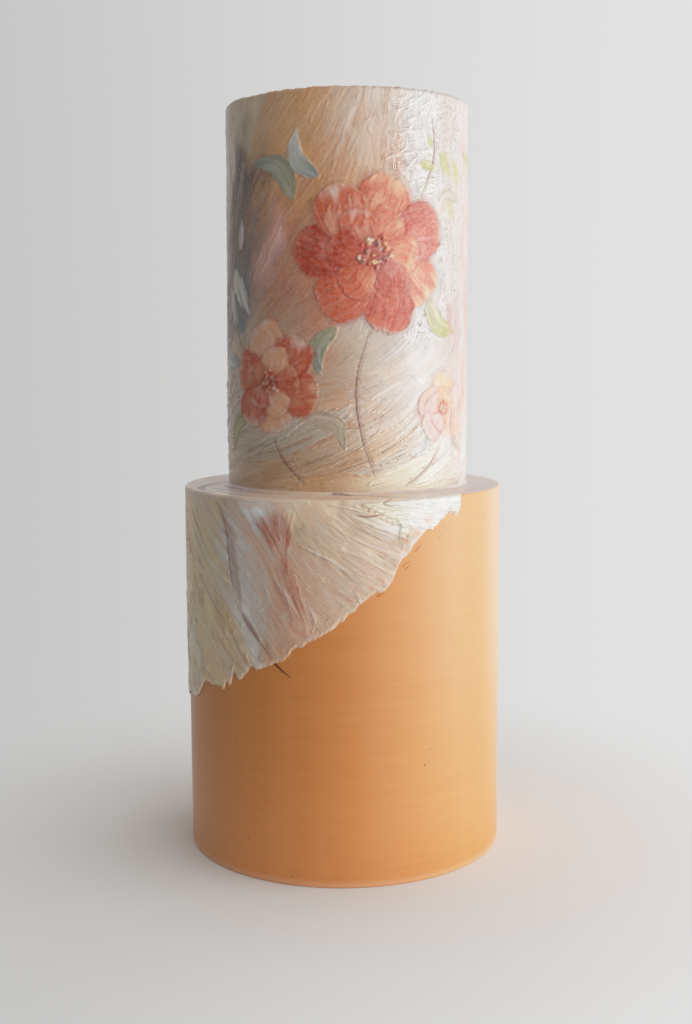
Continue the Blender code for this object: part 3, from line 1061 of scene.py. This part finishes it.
def torn_edge_stains(canvas):
    """Blush and peach drawn up from the wall along the torn edge."""
    for k in range(64):
        degrees = -100 + 2.2 * k
        edge = LEDGE - drop_at(degrees)
        reach = random.uniform(5, 14) * towards(flow_at(degrees, edge))
        start = np.array(wall_place(degrees, edge + random.uniform(-1, 4)))
        rusty = -24 < degrees < -8 or 6 < degrees < 31
        paint, share = ((CORAL, 0.65 if rusty else 0.4), (TAUPE, 0.1 if rusty else 0.4))[k % 2]
        paint = mixed(PEACH, paint, share)
        canvas.stroke(
            (start, start - reach / 2, start - reach), random.uniform(3, 8),
            (paint, mixed(paint, TAUPE, 0.4)), form=leaf_form, body=0.15, ridge=0.2, dry=0.4, tail=0.5,
            streak=0.25, pearl=0.4, cover=0.75 if rusty else 0.5, soft=2.5,
        )


def narrow_passes(canvas):
    """Narrow passes, dark and pale, that lie close together on the left."""
    for k in range(46):
        degrees = random.uniform(-88, -40)
        z = LEDGE - 6 - random.random() * 0.9 * drop_at(degrees)
        start, reach = along_flow(degrees, z, 0.08, (25, 55))
        paint = (mixed(TAUPE, SAGE, 0.6), (252, 244, 226), mixed(TAUPE, BROWN, 0.3), PEARL)[k % 4]
        canvas.stroke(
            (start, start + reach / 2 + random.normal(0, 1, 2), start + reach), random.uniform(1.6, 3.6),
            (paint, paint), form=line_form, body=0.25, dry=0.4, tail=0.4, streak=0.25, pearl=1.1,
            cover=random.uniform(0.3, 0.6), soft=1.2,
        )


def fine_scratches(canvas):
    """Fine scratches along the passes, the pale ones partly painted highlight, and glints painted white."""
    for k in range(420):
        degrees = random.uniform(-95, 36)
        z = LEDGE - 3 - random.random() * drop_at(degrees)
        start, reach = along_flow(degrees, z, 0.07, (8, 30))
        paint = (WARM_WHITE, mixed(TAUPE, BROWN, 0.35), PEARL, mixed(CORAL, TAUPE, 0.6))[k % 4]
        canvas.stroke(
            (start, start + reach / 2 + random.normal(0, 0.6, 2), start + reach), random.uniform(0.8, 1.1),
            (paint, paint), form=line_form, body=0.12, ridge=0.1, dry=0.35, tail=0.3, streak=0.15,
            pearl=0.8, cover=random.uniform(0.25, 0.65), soft=0.6,
        )
    # Painted highlight: glints as tiny raised strokes of pearl and warm white.
    for k in range(90):
        degrees, z = random.uniform(-76, -34), random.uniform(125, 240)
        start, reach = along_flow(degrees, z, 0.15, (0.8, 5))
        canvas.stroke(
            (start, start + reach / 2, start + reach), random.uniform(0.8, 1.2), (PEARL, WARM_WHITE),
            form=line_form, body=0.6, streak=0.1, pearl=1.5, cover=0.8,
        )


def paint_coat(canvas):
    """The coat's paint, from the broad ground to the drawn lines."""
    wash(canvas, COAT_ZONES)
    ground(
        canvas, COAT_ZONES, coat_flow, 380, 105, 275, (9, 20), (35, 85), 0.3, streak=0.12, cover=0.6,
        soft=3.5,
    )
    ground(canvas, COAT_ZONES, coat_flow, 320, 105, 255, (4, 9), (25, 60), 0.6, cover=0.7, soft=1.8)
    ledge_passes(canvas)
    fold_shade_and_line(canvas)
    russet_fan(canvas)
    pearl_passes(canvas)
    torn_edge_stains(canvas)
    # Painted highlight: each crease is a raised ridge painted pearl and warm white.
    for points in CREASE_RIDGES_AND_HIGHLIGHTS:
        canvas.stroke(
            wall_path(points), random.uniform(0.9, 1.4), (PEARL, WARM_WHITE), form=leaf_form, body=0.6,
            dry=0.4, tail=0.3, streak=0.1, pearl=1.4, cover=0.85,
        )
    narrow_passes(canvas)
    fine_scratches(canvas)
    for points in COAT_STEMS:
        width = 1.6 if abs(points[0][0]) < 100 else 2.8
        canvas.line(wall_path(points), width, mixed(BROWN, RUSSET, 0.4))
    for points, width in LEDGE_LINES:
        canvas.line(wall_path(points), width, mixed(BROWN, MAUVE, 0.35), dry=0.2)


def coat_growth(degrees, radius, height, relief):
    """How far the hanging coat's face stands out: its paint's relief, less where the coat is thinner."""
    from_ends = np.minimum(COAT_END - degrees, degrees - (COAT_END - COAT_SPAN))
    to_end = from_ends * math.pi / 180 * LOWER_RADIUS
    to_edge = np.minimum(height - height[:1], to_end[None, :] + 0.4)
    thin = COAT_LOWERED + COAT_EDGE * (1 - smooth(to_edge / 4)) + 0.12 * (1 - smooth(to_edge / 1.2))
    lip = 0.5 * np.exp(-(((to_edge - 2.2) / 1.3) ** 2)) * noise(degrees / 2.3, 1.7)[None, :]
    return relief - thin + lip


def coat_back(degrees, hanging):
    """The hidden rows behind the coat: under the ledge, and down the wall where the coat hangs."""
    inner, under, behind = foot_radius(degrees), LOWER_TOP + 0.05, LOWER_RADIUS + 0.02
    rows = [(inner, under), (0.5 * (inner + LOWER_RADIUS - 2), under), (LOWER_RADIUS - 2, under)]
    if hanging:
        low = LEDGE - coat_drop(degrees)
        rows += [(behind, LOWER_TOP - 1.0), (behind, 0.5 * (low + LOWER_TOP)), (behind, low)]
    return [polar(degrees, radius, height) for radius, height in rows]


def coat_body(degrees, wall_rows, rim_rows, cuts, finish):
    """One stretch of the coat, cut into pieces. A cut is a name with its first and last column."""
    radius, height, tilt, z = coat_sheet(degrees, wall_rows, LEDGE_ROWS, rim_rows)
    x = np.broadcast_to(np.radians(wrapped(degrees)) * LOWER_RADIUS, radius.shape)
    canvas = Canvas(x, z, IVORY, 2 * math.pi * LOWER_RADIUS)
    paint_coat(canvas)
    relief = canvas.values(canvas.relief)
    if wall_rows:
        on_wall = coat_growth(degrees, radius, height, relief)
        grow = on_wall * smooth(1.5 - tilt) + 0.65 * relief * smooth(tilt - 0.5)
    else:
        grow = 0.45 * relief - 0.5 * (1 - smooth((LOWER_RADIUS - radius) / 3))
        radius = radius + 0.5 * (noise(degrees / 3.1, 4.4)[None, :] - 0.5) * smooth((radius - 100) / 5)
    near_foot = radius - foot_radius(degrees)
    sweep = 2.2 * np.clip(1 - near_foot / 2.6, 0, 1) ** 2 * (tilt > 1.5)
    radius, height = radius + grow * np.cos(tilt), height + grow * np.sin(tilt) + sweep
    points = polar(degrees[None, :], radius, height)
    hidden = coat_back(degrees, bool(wall_rows))
    normals, fields = normals_of(points, False), paint_fields(canvas)
    for name, first, last in cuts:
        cut = slice(first, last + 1)
        own = {field: values[:, cut] for field, values in fields.items()}
        back = [row[cut] for row in hidden]
        sheet_object(name, points[:, cut], normals[:, cut], own, back, finish, COAT_PART)


def painted_coat(finish):
    """The coat in three closed pieces: two where it hangs, and the ring on the bare side."""
    begin, end = COAT_END - COAT_SPAN, COAT_END
    spacing = CELL / LOWER_RADIUS * 180 / math.pi
    hanging = spaced_angles(((begin, spacing * COARSE), (FINE_FROM, spacing), (end, spacing)))
    split = int(np.searchsorted(hanging, COAT_SEAM))
    pieces = (("painted_coat_left", 0, split), ("painted_coat_front", split, len(hanging) - 1))
    coat_body(hanging, COAT_WALL_ROWS, 6, pieces, finish)
    resting = spaced_angles(((end, RING_SPACING), (begin + 360, RING_SPACING)))
    coat_body(resting, 0, 3, (("painted_coat_ring", 0, len(resting) - 1),), finish)


# ---------------------------------------------------------------- upper tier


# Zones of paint on the upper tier
# Partly painted shade: the dark zones at the far left, from -75 to -46 degrees, darken the side away from
# the lights.
UPPER_ZONES = (
    (-80, 470, 12, 40, (242, 230, 216)), (-75, 368, 9, 36, (172, 156, 148)),
    (-57, 415, 11, 38, (134, 112, 102)), (-60, 372, 7, 24, (132, 136, 134)),
    (-46, 430, 6, 34, (150, 122, 106)), (-76, 300, 12, 40, (206, 182, 166)),
    (-58, 285, 30, 40, (214, 190, 164)), (-52, 484, 18, 18, (222, 202, 176)),
    (-26, 472, 24, 24, (224, 170, 118)), (-14, 448, 18, 20, (222, 160, 104)), (-40, 398, 9, 18, ROSE),
    (-20, 385, 14, 30, (206, 138, 108)), (4, 488, 14, 9, (216, 196, 180)),
    (2, 455, 14, 18, (208, 156, 120)), (18, 462, 9, 16, (194, 158, 138)), (28, 472, 7, 12, (190, 178, 178)),
    (39, 478, 12, 14, (204, 205, 206)), (58, 476, 12, 20, (190, 180, 172)),
    (46, 435, 18, 30, (190, 182, 168)), (42, 380, 20, 50, (198, 190, 186)),
    (66, 400, 14, 80, (192, 164, 154)), (84, 380, 10, 90, (188, 172, 167)),
    (64, 310, 14, 40, (204, 168, 154)), (38, 305, 16, 20, (224, 209, 198)),
    (38, 268, 18, 16, (238, 221, 192)), (16, 288, 12, 26, (204, 187, 170)),
    (-4, 292, 24, 30, (212, 156, 114)), (-16, 258, 30, 12, (214, 174, 132)),
    (-30, 300, 14, 24, (206, 184, 158)), (4, 338, 22, 16, (206, 184, 166)), (112, 430, 40, 60, PEARL),
    (112, 300, 40, 60, (234, 214, 194)), (160, 440, 50, 50, (214, 180, 146)),
    (178, 300, 50, 50, (230, 200, 182)), (-150, 430, 40, 60, PEARL), (-120, 300, 50, 60, (222, 190, 156)),
    (-108, 440, 24, 50, (214, 196, 180)),
)


def upper_flow(x, z):
    """Passes stand nearly upright above, and sweep up to the right in long arcs below."""
    degrees = math.degrees(x / UPPER_RADIUS)
    upright = float(smooth((z - 315) / 60))
    dip = 0.35 * math.exp(-(((degrees + 25) / 30) ** 2))
    lean = 1.45 + 0.25 * math.sin(math.radians(degrees * 2)) - dip
    sweep = 0.42 + 0.35 * math.sin(x / 45)
    return sweep * (1 - upright) + lean * upright


WARM = (
    (RUSSET, TERRACOTTA, CORAL), (TERRACOTTA, CORAL, PEACH), (RUSSET, CORAL, BLUSH),
    (TERRACOTTA, TERRACOTTA, CORAL), (TERRACOTTA, CORAL, CORAL),
)
SOFT = ((TERRACOTTA, CORAL, BLUSH), (CORAL, PEACH, BLUSH), (TERRACOTTA, CORAL, PEACH))
PALE = ((TERRACOTTA, ROSE, BLUSH), (CORAL, PEACH, BLUSH), (CORAL, ROSE, PEACH))
# Flowers: angle, height, radius, petals, turn, colour schemes, and which way the petals bend
BLOOMS = (
    (12, 397, 50, 7, 0.3, WARM, 1),
    (-37, 318, 36, 6, 0.9, SOFT, -1),
    (49, 300, 23, 5, 0.2, PALE, 1),
    (104, 412, 40, 6, 0.5, PALE, 1),
    (158, 330, 48, 7, 0.1, WARM, -1),
    (-128, 400, 42, 6, 0.7, SOFT, 1),
)
GREENS = ((SAGE, TEAL), (TEAL, GREY), (SAGE, CHARTREUSE), (TAUPE, SAGE))
# Leaves: angle, height, heading in radians, length, width
LEAVES = (
    (-24, 428, 2.5, 44, 15), (-12, 442, 2.0, 36, 12), (38, 372, -0.6, 40, 14), (44, 420, 0.4, 30, 11),
    (-4, 352, -1.9, 34, 12), (-58, 330, 2.6, 32, 12), (-50, 296, -2.3, 34, 12), (-20, 296, -0.7, 36, 12),
    (58, 290, -0.9, 24, 8), (40, 286, -2.4, 22, 8), (84, 440, 2.4, 34, 12), (126, 396, -0.6, 36, 12),
    (100, 372, -1.4, 32, 11), (140, 362, 2.5, 36, 13), (178, 352, 0.7, 38, 13), (162, 284, -1.2, 34, 12),
    (-150, 420, 2.7, 34, 12), (-108, 424, 0.6, 34, 12), (-124, 360, -1.6, 34, 12),
)
# Stems, through angles and heights
STEMS = (
    ((10, 350), (4, 318), (6, 285), (14, 252)),
    ((-36, 284), (-30, 268), (-18, 252)),
    ((48, 280), (40, 264), (26, 251)),
    ((-74, 470), (-66, 430), (-68, 380), (-60, 345), (-48, 330)),
    ((34, 430), (42, 458), (40, 486)),
    ((104, 372), (98, 320), (104, 280), (98, 250)),
    ((158, 282), (166, 264), (160, 250)),
    ((-128, 358), (-136, 310), (-126, 270), (-132, 250)),
)


# Upright streaks at the right: angle, foot, length, width and paint
STREAKS = (
    (62, 330, 50, 6, FADED_ROSE), (58, 270, 46, 5, FADED_ROSE), (55, 345, 40, 5, FADED_ROSE),
    (66, 262, 70, 7, SALMON), (70, 300, 44, 5, CORAL), (72, 290, 60, 6, SALMON), (74, 345, 60, 6, SALMON),
    (69, 380, 50, 5, SALMON), (76, 405, 60, 6, FADED_ROSE), (70, 452, 34, 5, SALMON),
    (78, 330, 60, 7, SALMON), (84, 380, 70, 6, CORAL),
)
# Loose dabs, through angles and heights, with width and paint
DABS = (
    (((33, 453), (39, 451), (45, 452)), 7, CHARTREUSE), (((46, 462), (50, 452), (54, 440)), 10, CHARTREUSE),
    (((56, 458), (59, 448), (60, 434)), 8, CHARTREUSE), (((38, 470), (40, 464), (41, 459)), 5, CHARTREUSE),
    (((52, 432), (55, 424), (56, 414)), 6, OLIVE), (((-58, 400), (-57, 412), (-55, 424)), 8, MAUVE),
    (((-64, 372), (-64, 382), (-63, 392)), 7, BLUSH), (((-63, 392), (-60, 376), (-54, 358)), 9, GREY),
    (((-58, 386), (-55, 372), (-49, 356)), 7, PEARL), (((-68, 378), (-65, 362), (-60, 346)), 8, GREY),
    (((-82, 400), (-81, 430), (-80, 460)), 9, BLUSH), (((-80, 330), (-78, 352), (-77, 376)), 8, MAUVE),
)


def upper_place(degrees, height):
    return wall_place(degrees, height, UPPER_RADIUS)


def upper_path(points):
    return wall_path(points, UPPER_RADIUS)


def combed_arcs(canvas):
    """Combed arcs across the upper wall's foot."""
    for k in range(26):
        degrees = -180 + 360 * scattered(k)
        z = 252 + 58 * scattered(k, 0.37)
        paint = paint_at(UPPER_ZONES, *upper_place(degrees, z), canvas.period)
        points = ((degrees - 26, z - 9), (degrees, z + 1), (degrees + 20, z + 14), (degrees + 36, z + 31))
        canvas.stroke(
            upper_path(points), random.uniform(10, 19),
            (paint, mixed(paint, PEARL, 0.25), mixed(paint, PEARL, 0.7)), form=line_form, comb=1.0,
            dry=0.25, tail=0.3, pearl=1.0, soft=1.5,
        )


def plants(canvas):
    """Stems, then leaves, then flowers."""
    for points in STEMS:
        width = 1.9 if abs(points[0][0]) < 100 else 2.8
        canvas.line(upper_path(points), width, dry=0.15)
        beside = [(degrees + 1.2, height) for degrees, height in points]
        canvas.line(upper_path(beside), 0.9, RUSSET, dry=0.2)
    for k, (degrees, height, heading, length, width) in enumerate(LEAVES):
        paints, bend = GREENS[k % len(GREENS)], 1 if k % 2 else -1
        leaf(canvas, upper_place(degrees, height), heading, length, width, paints, bend)
    for degrees, height, radius, petals, turn, schemes, spin in reversed(BLOOMS):
        bloom(canvas, *upper_place(degrees, height), radius, petals, turn, schemes, spin)


def streaks_and_dabs(canvas):
    for degrees, height, length, width, paint in STREAKS:
        foot, middle, top = height - 8, height + length / 2, height + length + 12
        points = ((degrees, foot), (degrees - 1, middle), (degrees + 1, top))
        canvas.stroke(
            upper_path(points), width * 1.7,
            (mixed(paint, BLUSH, 0.5), paint, mixed(paint, BLUSH, 0.6)), form=line_form, body=0.15,
            ridge=0.05, dry=0.45, tail=0.6, streak=0.3, pearl=0.3, cover=0.7, soft=3.5,
        )
    for points, width, paint in DABS:
        canvas.stroke(
            upper_path(points), width, (paint, mixed(paint, PEARL, 0.25)), form=leaf_form,
            body=0.25, ridge=0.2, dry=0.3, tail=0.4, streak=0.3, pearl=0.2, cover=0.85, soft=1.4,
        )


def paint_upper_wall(canvas):
    """The upper wall's paint: ground, arcs, curls, plants, streaks and dabs."""
    wash(canvas, UPPER_ZONES)
    ground(
        canvas, UPPER_ZONES, upper_flow, 400, 240, 500, (10, 22), (35, 80), 0.25, streak=0.12, cover=0.6,
        soft=3.5,
    )
    ground(
        canvas, UPPER_ZONES, upper_flow, 420, 240, 500, (3, 9), (18, 50), 0.5, streak=0.22, cover=0.7,
        soft=1.8,
    )
    combed_arcs(canvas)
    scribble(canvas, upper_place(20, 350), upper_place(74, 492), 420)
    plants(canvas)
    streaks_and_dabs(canvas)


def paint_top(canvas):
    """The flat top: level passes of the knife in quiet paints, one across the next."""
    for k in range(120):
        away = UPPER_RADIUS * math.sqrt((k + 0.5) / 120)
        angle = k * 2.39996
        spot = np.array([away * math.cos(angle), away * math.sin(angle)])
        heading = 0.5 + 0.5 * math.sin(spot[0] / 40) + random.normal(0, 0.2)
        step = towards(heading) * random.uniform(12, 28)
        first = (BEIGE, IVORY, BLUSH, PEARL, TAN)[k % 5]
        canvas.stroke(
            (spot - step, spot, spot + step), random.uniform(8, 20), (first, mixed(first, PEARL, 0.5)),
            body=random.uniform(0.1, 0.4), comb=0.4 * (k % 3), tail=0.3, streak=0.15, pearl=0.6, cover=0.8,
            soft=3,
        )


def upper_wall(degrees):
    """The wall and rounded rim: each row's radius, height and tilt, and the paint's fields and relief."""
    wall_top = UPPER_TOP - UPPER_ROUNDING
    wall = np.linspace(UPPER_FOOT, wall_top, UPPER_WALL_ROWS)
    turn = np.linspace(0, math.pi / 2, 6)[1:]
    rim = UPPER_RADIUS - UPPER_ROUNDING * (1 - np.cos(turn))
    radius = np.concatenate([np.full(wall.shape, UPPER_RADIUS), rim])
    height = np.concatenate([wall, wall_top + UPPER_ROUNDING * np.sin(turn)])
    tilt = np.concatenate([np.zeros(wall.shape), turn])
    unrolled = np.concatenate([wall, wall_top + UPPER_ROUNDING * turn])
    x, z = np.meshgrid(np.radians(degrees) * UPPER_RADIUS, unrolled)
    canvas = Canvas(x, z, BEIGE, 2 * math.pi * UPPER_RADIUS)
    paint_upper_wall(canvas)
    relief = canvas.values(canvas.relief) * smooth((z - 248) / 7)
    relief[:, -1] = relief[:, 0]
    return radius, height, tilt, paint_fields(canvas), relief


def upper_top(degrees):
    """The flat top: the radius of each ring, and the paint's fields and relief."""
    rings = np.linspace(UPPER_RADIUS - UPPER_ROUNDING, 1.5, UPPER_RINGS)[1:]
    places = polar(degrees[None, :], rings[:, None], UPPER_TOP)
    canvas = Canvas(places[..., 0], places[..., 1], BEIGE)
    paint_top(canvas)
    return rings, paint_fields(canvas), canvas.values(canvas.relief)


def upper_shape(degrees, radius, height, tilt, grow):
    """The upper tier's points: its plain form with the paint's relief, a ragged rim and a slow waver."""
    phi = np.radians(degrees)[None, :]
    ragged = noise(degrees / 2.1, 2.2)[None, :] + 0.5 * noise(degrees / 0.7, 8.8)[None, :] - 0.75
    blend_ends = smooth((180 - np.abs(degrees)) / 4)[None, :]
    lift = 0.9 * ragged * blend_ends * np.exp(-(((radius - UPPER_RADIUS) / 4) ** 2))
    lift = lift * smooth((height - UPPER_TOP + 3) / 3)
    sag = 0.35 * np.sin(2 * phi + 0.6) * smooth((height - UPPER_TOP + 30) / 30)
    waver = 0.12 * np.sin(2 * phi + height / 60) + 0.1 * np.sin(5 * phi - height / 33)
    low = (UPPER_TOP - height) / (UPPER_TOP - UPPER_FOOT)
    outward = (grow + waver * smooth((height - 252) / 20)) * np.cos(tilt)
    radius = radius + outward + UPPER_FLARE * low * (tilt < 0.01)
    shift = UPPER_SHIFT - UPPER_LEAN * low
    return polar(degrees[None, :], radius, height + grow * np.sin(tilt) + lift + sag, shift)


def upper_tier(finish):
    """The painted tier in three closed wedges that meet inside the cake."""
    spacing = CELL / UPPER_RADIUS * 180 / math.pi
    coarse = spacing * 1.65
    degrees = spaced_angles(((-180, coarse), (FINE_FROM, spacing), (-FINE_FROM, coarse), (180, spacing)))
    radius, height, tilt, wall_fields, wall_relief = upper_wall(degrees)
    rings, top_fields, top_relief = upper_top(degrees)
    fields = {k: np.concatenate([v, top_fields[k]]) for k, v in wall_fields.items()}
    for values in fields.values():
        values[:, -1] = values[:, 0]
    radius = np.concatenate([radius, rings])[:, None]
    height = np.concatenate([height, np.full(rings.shape, UPPER_TOP)])[:, None]
    tilt = np.concatenate([tilt, np.full(rings.shape, math.pi / 2)])[:, None]
    grow = np.concatenate([wall_relief, top_relief])
    points = upper_shape(degrees, radius, height, tilt, grow)
    hidden = [np.array([[UPPER_SHIFT, 0.0, UPPER_TOP]]), np.array([[UPPER_SHIFT, 0.0, UPPER_FOOT]])]
    normals = normals_of(points, True)
    cuts = [0, *(int(np.searchsorted(degrees, seam)) for seam in UPPER_SEAMS), len(degrees) - 1]
    for side, first, last in zip(("left", "front", "right"), cuts, cuts[1:]):
        cut = slice(first, last + 1)
        own = {field: values[:, cut] for field, values in fields.items()}
        name = f"upper_tier_{side}"
        sheet_object(name, points[:, cut], normals[:, cut], own, hidden, finish, UPPER_PART)


# ---------------------------------------------------------------- small things on the peach wall


def twig(name, places, thickness, finish, part):
    """A painted line that stands a little out of the peach wall, thick at its start and fine at its end."""
    path = curve(places, 10)
    steps = np.gradient(path, axis=0)
    steps /= np.linalg.norm(steps, axis=1)[:, None]
    ring = np.linspace(0, 2 * math.pi, 10, endpoint=False)
    rows = []
    for k, (place, step) in enumerate(zip(path, steps)):
        size = thickness * (1 - 0.8 * k / (len(path) - 1)) * (0.85 + 0.3 * noise(np.array(k / 2.0), 1.0))
        x = place[0] - step[1] * size * np.cos(ring)
        z = place[1] + step[0] * size * np.cos(ring)
        out = LOWER_RADIUS + 0.12 + 0.45 * size * np.sin(ring)
        rows.append(polar(np.degrees(x / LOWER_RADIUS), out, z))
    rows = np.array(rows)
    count = len(rows) * len(ring)
    mesh = bpy.data.meshes.new(name)
    index = np.arange(count).reshape(len(rows), len(ring))
    faces = [
        (index[r, c], index[r, (c + 1) % len(ring)], index[r + 1, (c + 1) % len(ring)], index[r + 1, c])
        for r in range(len(rows) - 1) for c in range(len(ring))
    ]
    faces += [tuple(index[0, ::-1]), tuple(index[-1])]
    mesh.from_pydata([tuple(p) for p in rows.reshape(-1, 3) * MM], [], [tuple(map(int, f)) for f in faces])
    mesh.shade_smooth()
    return placed(name, mesh, finish, part)


# Marks on the peach wall beside the torn edge, each through angles and heights
TWIG = ((-23.9, 143.4), (-20.9, 138.7), (-18.1, 135.2))
SMEARS = (
    ((20.1, 204.6), (21.4, 206.6), (23.0, 208.2)), ((20.8, 203.2), (22, 204.2), (22.9, 206)),
    ((24.6, 213.4), (25.9, 216), (27.2, 217.8)), ((11.2, 186.6), (12.6, 188.2), (14, 189)),
)
SCRATCHES = (
    ((34.3, 223.7), (38, 226), (43.6, 229.9)), ((33.6, 220.5), (37.4, 223.4), (42.8, 227)),
    ((35.4, 228.4), (39, 230.2), (43, 232.6)),
)


# Specks: angle in degrees, height and radius
SPECKS = (
    (-40.4, 92, 0.5), (-35.4, 26, 0.45), (28.4, 76, 0.55), (30.6, 86, 0.35), (-18.4, 6, 0.4),
    (74, 120, 0.4), (138, 60, 0.5),
)


def specks(finish):
    """Tiny dark specks caught in the peach buttercream, pressed flat."""
    points, faces = [], []
    for degrees, height, size in SPECKS:
        ring = np.linspace(0, 2 * math.pi, 9, endpoint=False)
        wide = size * (0.8 + 0.4 * noise(ring * 2, height))
        for share, out in ((1.0, -0.2), (0.8, 0.12), (0.0, 0.2)):
            x = math.radians(degrees) * LOWER_RADIUS + share * wide * np.cos(ring)
            z = height + share * wide * np.sin(ring)
            points.append(polar(np.degrees(x / LOWER_RADIUS), LOWER_RADIUS + out, z))
        base = len(points) * 9 - 27
        for k in range(9):
            after = (k + 1) % 9
            faces.append((base + k, base + after, base + 9 + after, base + 9 + k))
            faces.append((base + 9 + k, base + 9 + after, base + 18))
        faces.append(tuple(base + k for k in reversed(range(9))))
    mesh = bpy.data.meshes.new("peach_specks")
    mesh.from_pydata([tuple(p) for p in np.vstack(points) * MM], [], faces)
    mesh.validate()
    return placed("peach_specks", mesh, finish, PEACH_PART)


# ---------------------------------------------------------------- camera, light and floor


# The camera fitted to the photograph: its place in metres, its turns in radians and its focal length
CAMERA_PLACE = (0.0, -0.9204, 0.34045)
PITCH, YAW, ROLL = -0.12334, -0.00207, -0.00556
FOCAL_PIXELS, PHOTO_HEIGHT = 1345, 1024


def camera():
    """The photograph's view: a little above the ledge, looking slightly down."""
    data = bpy.data.cameras.new("camera")
    data.sensor_fit = "VERTICAL"
    data.sensor_height = 36.0
    data.lens = 36.0 * FOCAL_PIXELS / PHOTO_HEIGHT
    data.clip_start = 0.01
    obj = bpy.data.objects.new("camera", data)
    bpy.context.scene.collection.objects.link(obj)
    turn = Matrix.Rotation(YAW, 4, "Z") @ Matrix.Rotation(math.pi / 2 + PITCH, 4, "X")
    turn = turn @ Matrix.Rotation(ROLL, 4, "Z")
    obj.matrix_world = Matrix.Translation(CAMERA_PLACE) @ turn
    bpy.context.scene.camera = obj


def area_light(name, place, target, size, power, colour):
    data = bpy.data.lights.new(name, "AREA")
    data.shape = "RECTANGLE"
    data.size, data.size_y = size
    data.energy = power
    data.color = colour
    obj = bpy.data.objects.new(name, data)
    bpy.context.scene.collection.objects.link(obj)
    obj.location = place
    obj.rotation_euler = (Vector(target) - Vector(place)).to_track_quat("-Z", "Y").to_euler()


def surroundings():
    """A pale room, brighter to the right and behind. The camera sees a plain wall in its place."""
    world = bpy.data.worlds.new("room")
    bpy.context.scene.world = world
    n = Nodes(world)
    where = n.place(0)
    side = n.add("ShaderNodeVectorMath", {0: where, 1: (0.28, 0.19, 0.03)}, 1, operation="DOT_PRODUCT")
    strength = n.math("MAXIMUM", n.math("ADD", side, 0.485), 0.17)
    room = n.add("ShaderNodeBackground", {0: (1.0, 0.985, 0.97, 1), 1: strength})
    shade = n.ranged(n.add("ShaderNodeSeparateXYZ", {0: where}), -0.35, 0.35, 0.565, 0.91)
    wall = n.add("ShaderNodeBackground", {0: (1.0, 0.995, 0.985, 1), 1: shade})
    camera_ray = n.add("ShaderNodeLightPath")
    seen = n.add("ShaderNodeMixShader", {0: camera_ray, 1: room, 2: wall})
    n.add("ShaderNodeOutputWorld", {0: seen})


def pale_floor():
    """A pale round floor that fades away towards its edge."""
    bpy.ops.mesh.primitive_circle_add(vertices=96, radius=0.5, fill_type="NGON")
    floor = bpy.context.object
    floor.name = "floor"
    n = Nodes(bpy.data.materials.new("pale_floor"))
    away = n.add("ShaderNodeVectorMath", {0: n.place()}, output=1, operation="LENGTH")
    fade = n.ranged(away, 0.10, 0.42, 0.0, 1.0)
    plain = n.add("ShaderNodeBsdfDiffuse", {0: (0.86, 0.855, 0.84, 1)})
    clear = n.add("ShaderNodeBsdfTransparent")
    mixed_shader = n.add("ShaderNodeMixShader", {0: fade, 1: plain, 2: clear})
    n.add("ShaderNodeOutputMaterial", {0: mixed_shader})
    floor.data.materials.append(n.owner)


# The camera's tone curve, in linear light: straight below a half, and bright parts held back
TONES = ((0.25, 0.25), (0.5, 0.5), (0.75, 0.69), (0.95, 0.79), (1.15, 0.85), (1.6, 0.92), (3.0, 0.98))


def roll_off(view):
    """Gives the picture the photograph's soft highlights."""
    view.use_curve_mapping = True
    mapping = view.curve_mapping
    mapping.clip_max_x = TONES[-1][0]
    curve = mapping.curves[3]
    curve.points[-1].location = TONES[-1]
    for place in TONES[:-1]:
        curve.points.new(*place)
    mapping.update()


def small_things():
    """The brown line by the torn edge, and the smears, scratches and specks on the peach wall."""
    brown = plain_finish("brown_paint", (128, 58, 38), 0.4)
    twig("twig_line", wall_path(TWIG), 0.85, brown, COAT_PART)
    smear = plain_finish("orange_smear", (214, 128, 66), 0.5)
    scratch = plain_finish("pale_scratch", (246, 190, 140), 0.4)
    for k, points in enumerate(SMEARS):
        twig(f"orange_smear_{k + 1}", wall_path(points), 0.42, smear, PEACH_PART)
    for k, points in enumerate(SCRATCHES):
        twig(f"pale_scratch_{k + 1}", wall_path(points), 0.3, scratch, PEACH_PART)
    specks(plain_finish("dark_speck", (92, 60, 44), 0.5))


def main():
    camera()
    surroundings()
    pale_floor()
    area_light("front_window", (1.04, -1.29, 0.45), (0, 0, 0.27), (1.5, 1.6), 12.5, (1.0, 0.985, 0.96))
    area_light("side_window", (1.5, -0.3, 0.3), (0, 0, 0.22), (1.0, 1.1), 14.5, (0.99, 0.99, 1.0))
    area_light("back_window", (1.1, 0.95, 0.4), (0, 0, 0.27), (0.9, 1.3), 5, (0.98, 0.99, 1.0))
    peach_tier(peach_finish("peach_buttercream_finish"))
    painted = painted_finish("painted_buttercream_finish")
    painted_coat(painted)
    upper_tier(painted)
    small_things()
    scene = bpy.context.scene
    scene.view_settings.view_transform = "Standard"
    scene.view_settings.look = "None"
    roll_off(scene.view_settings)
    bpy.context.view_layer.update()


main()
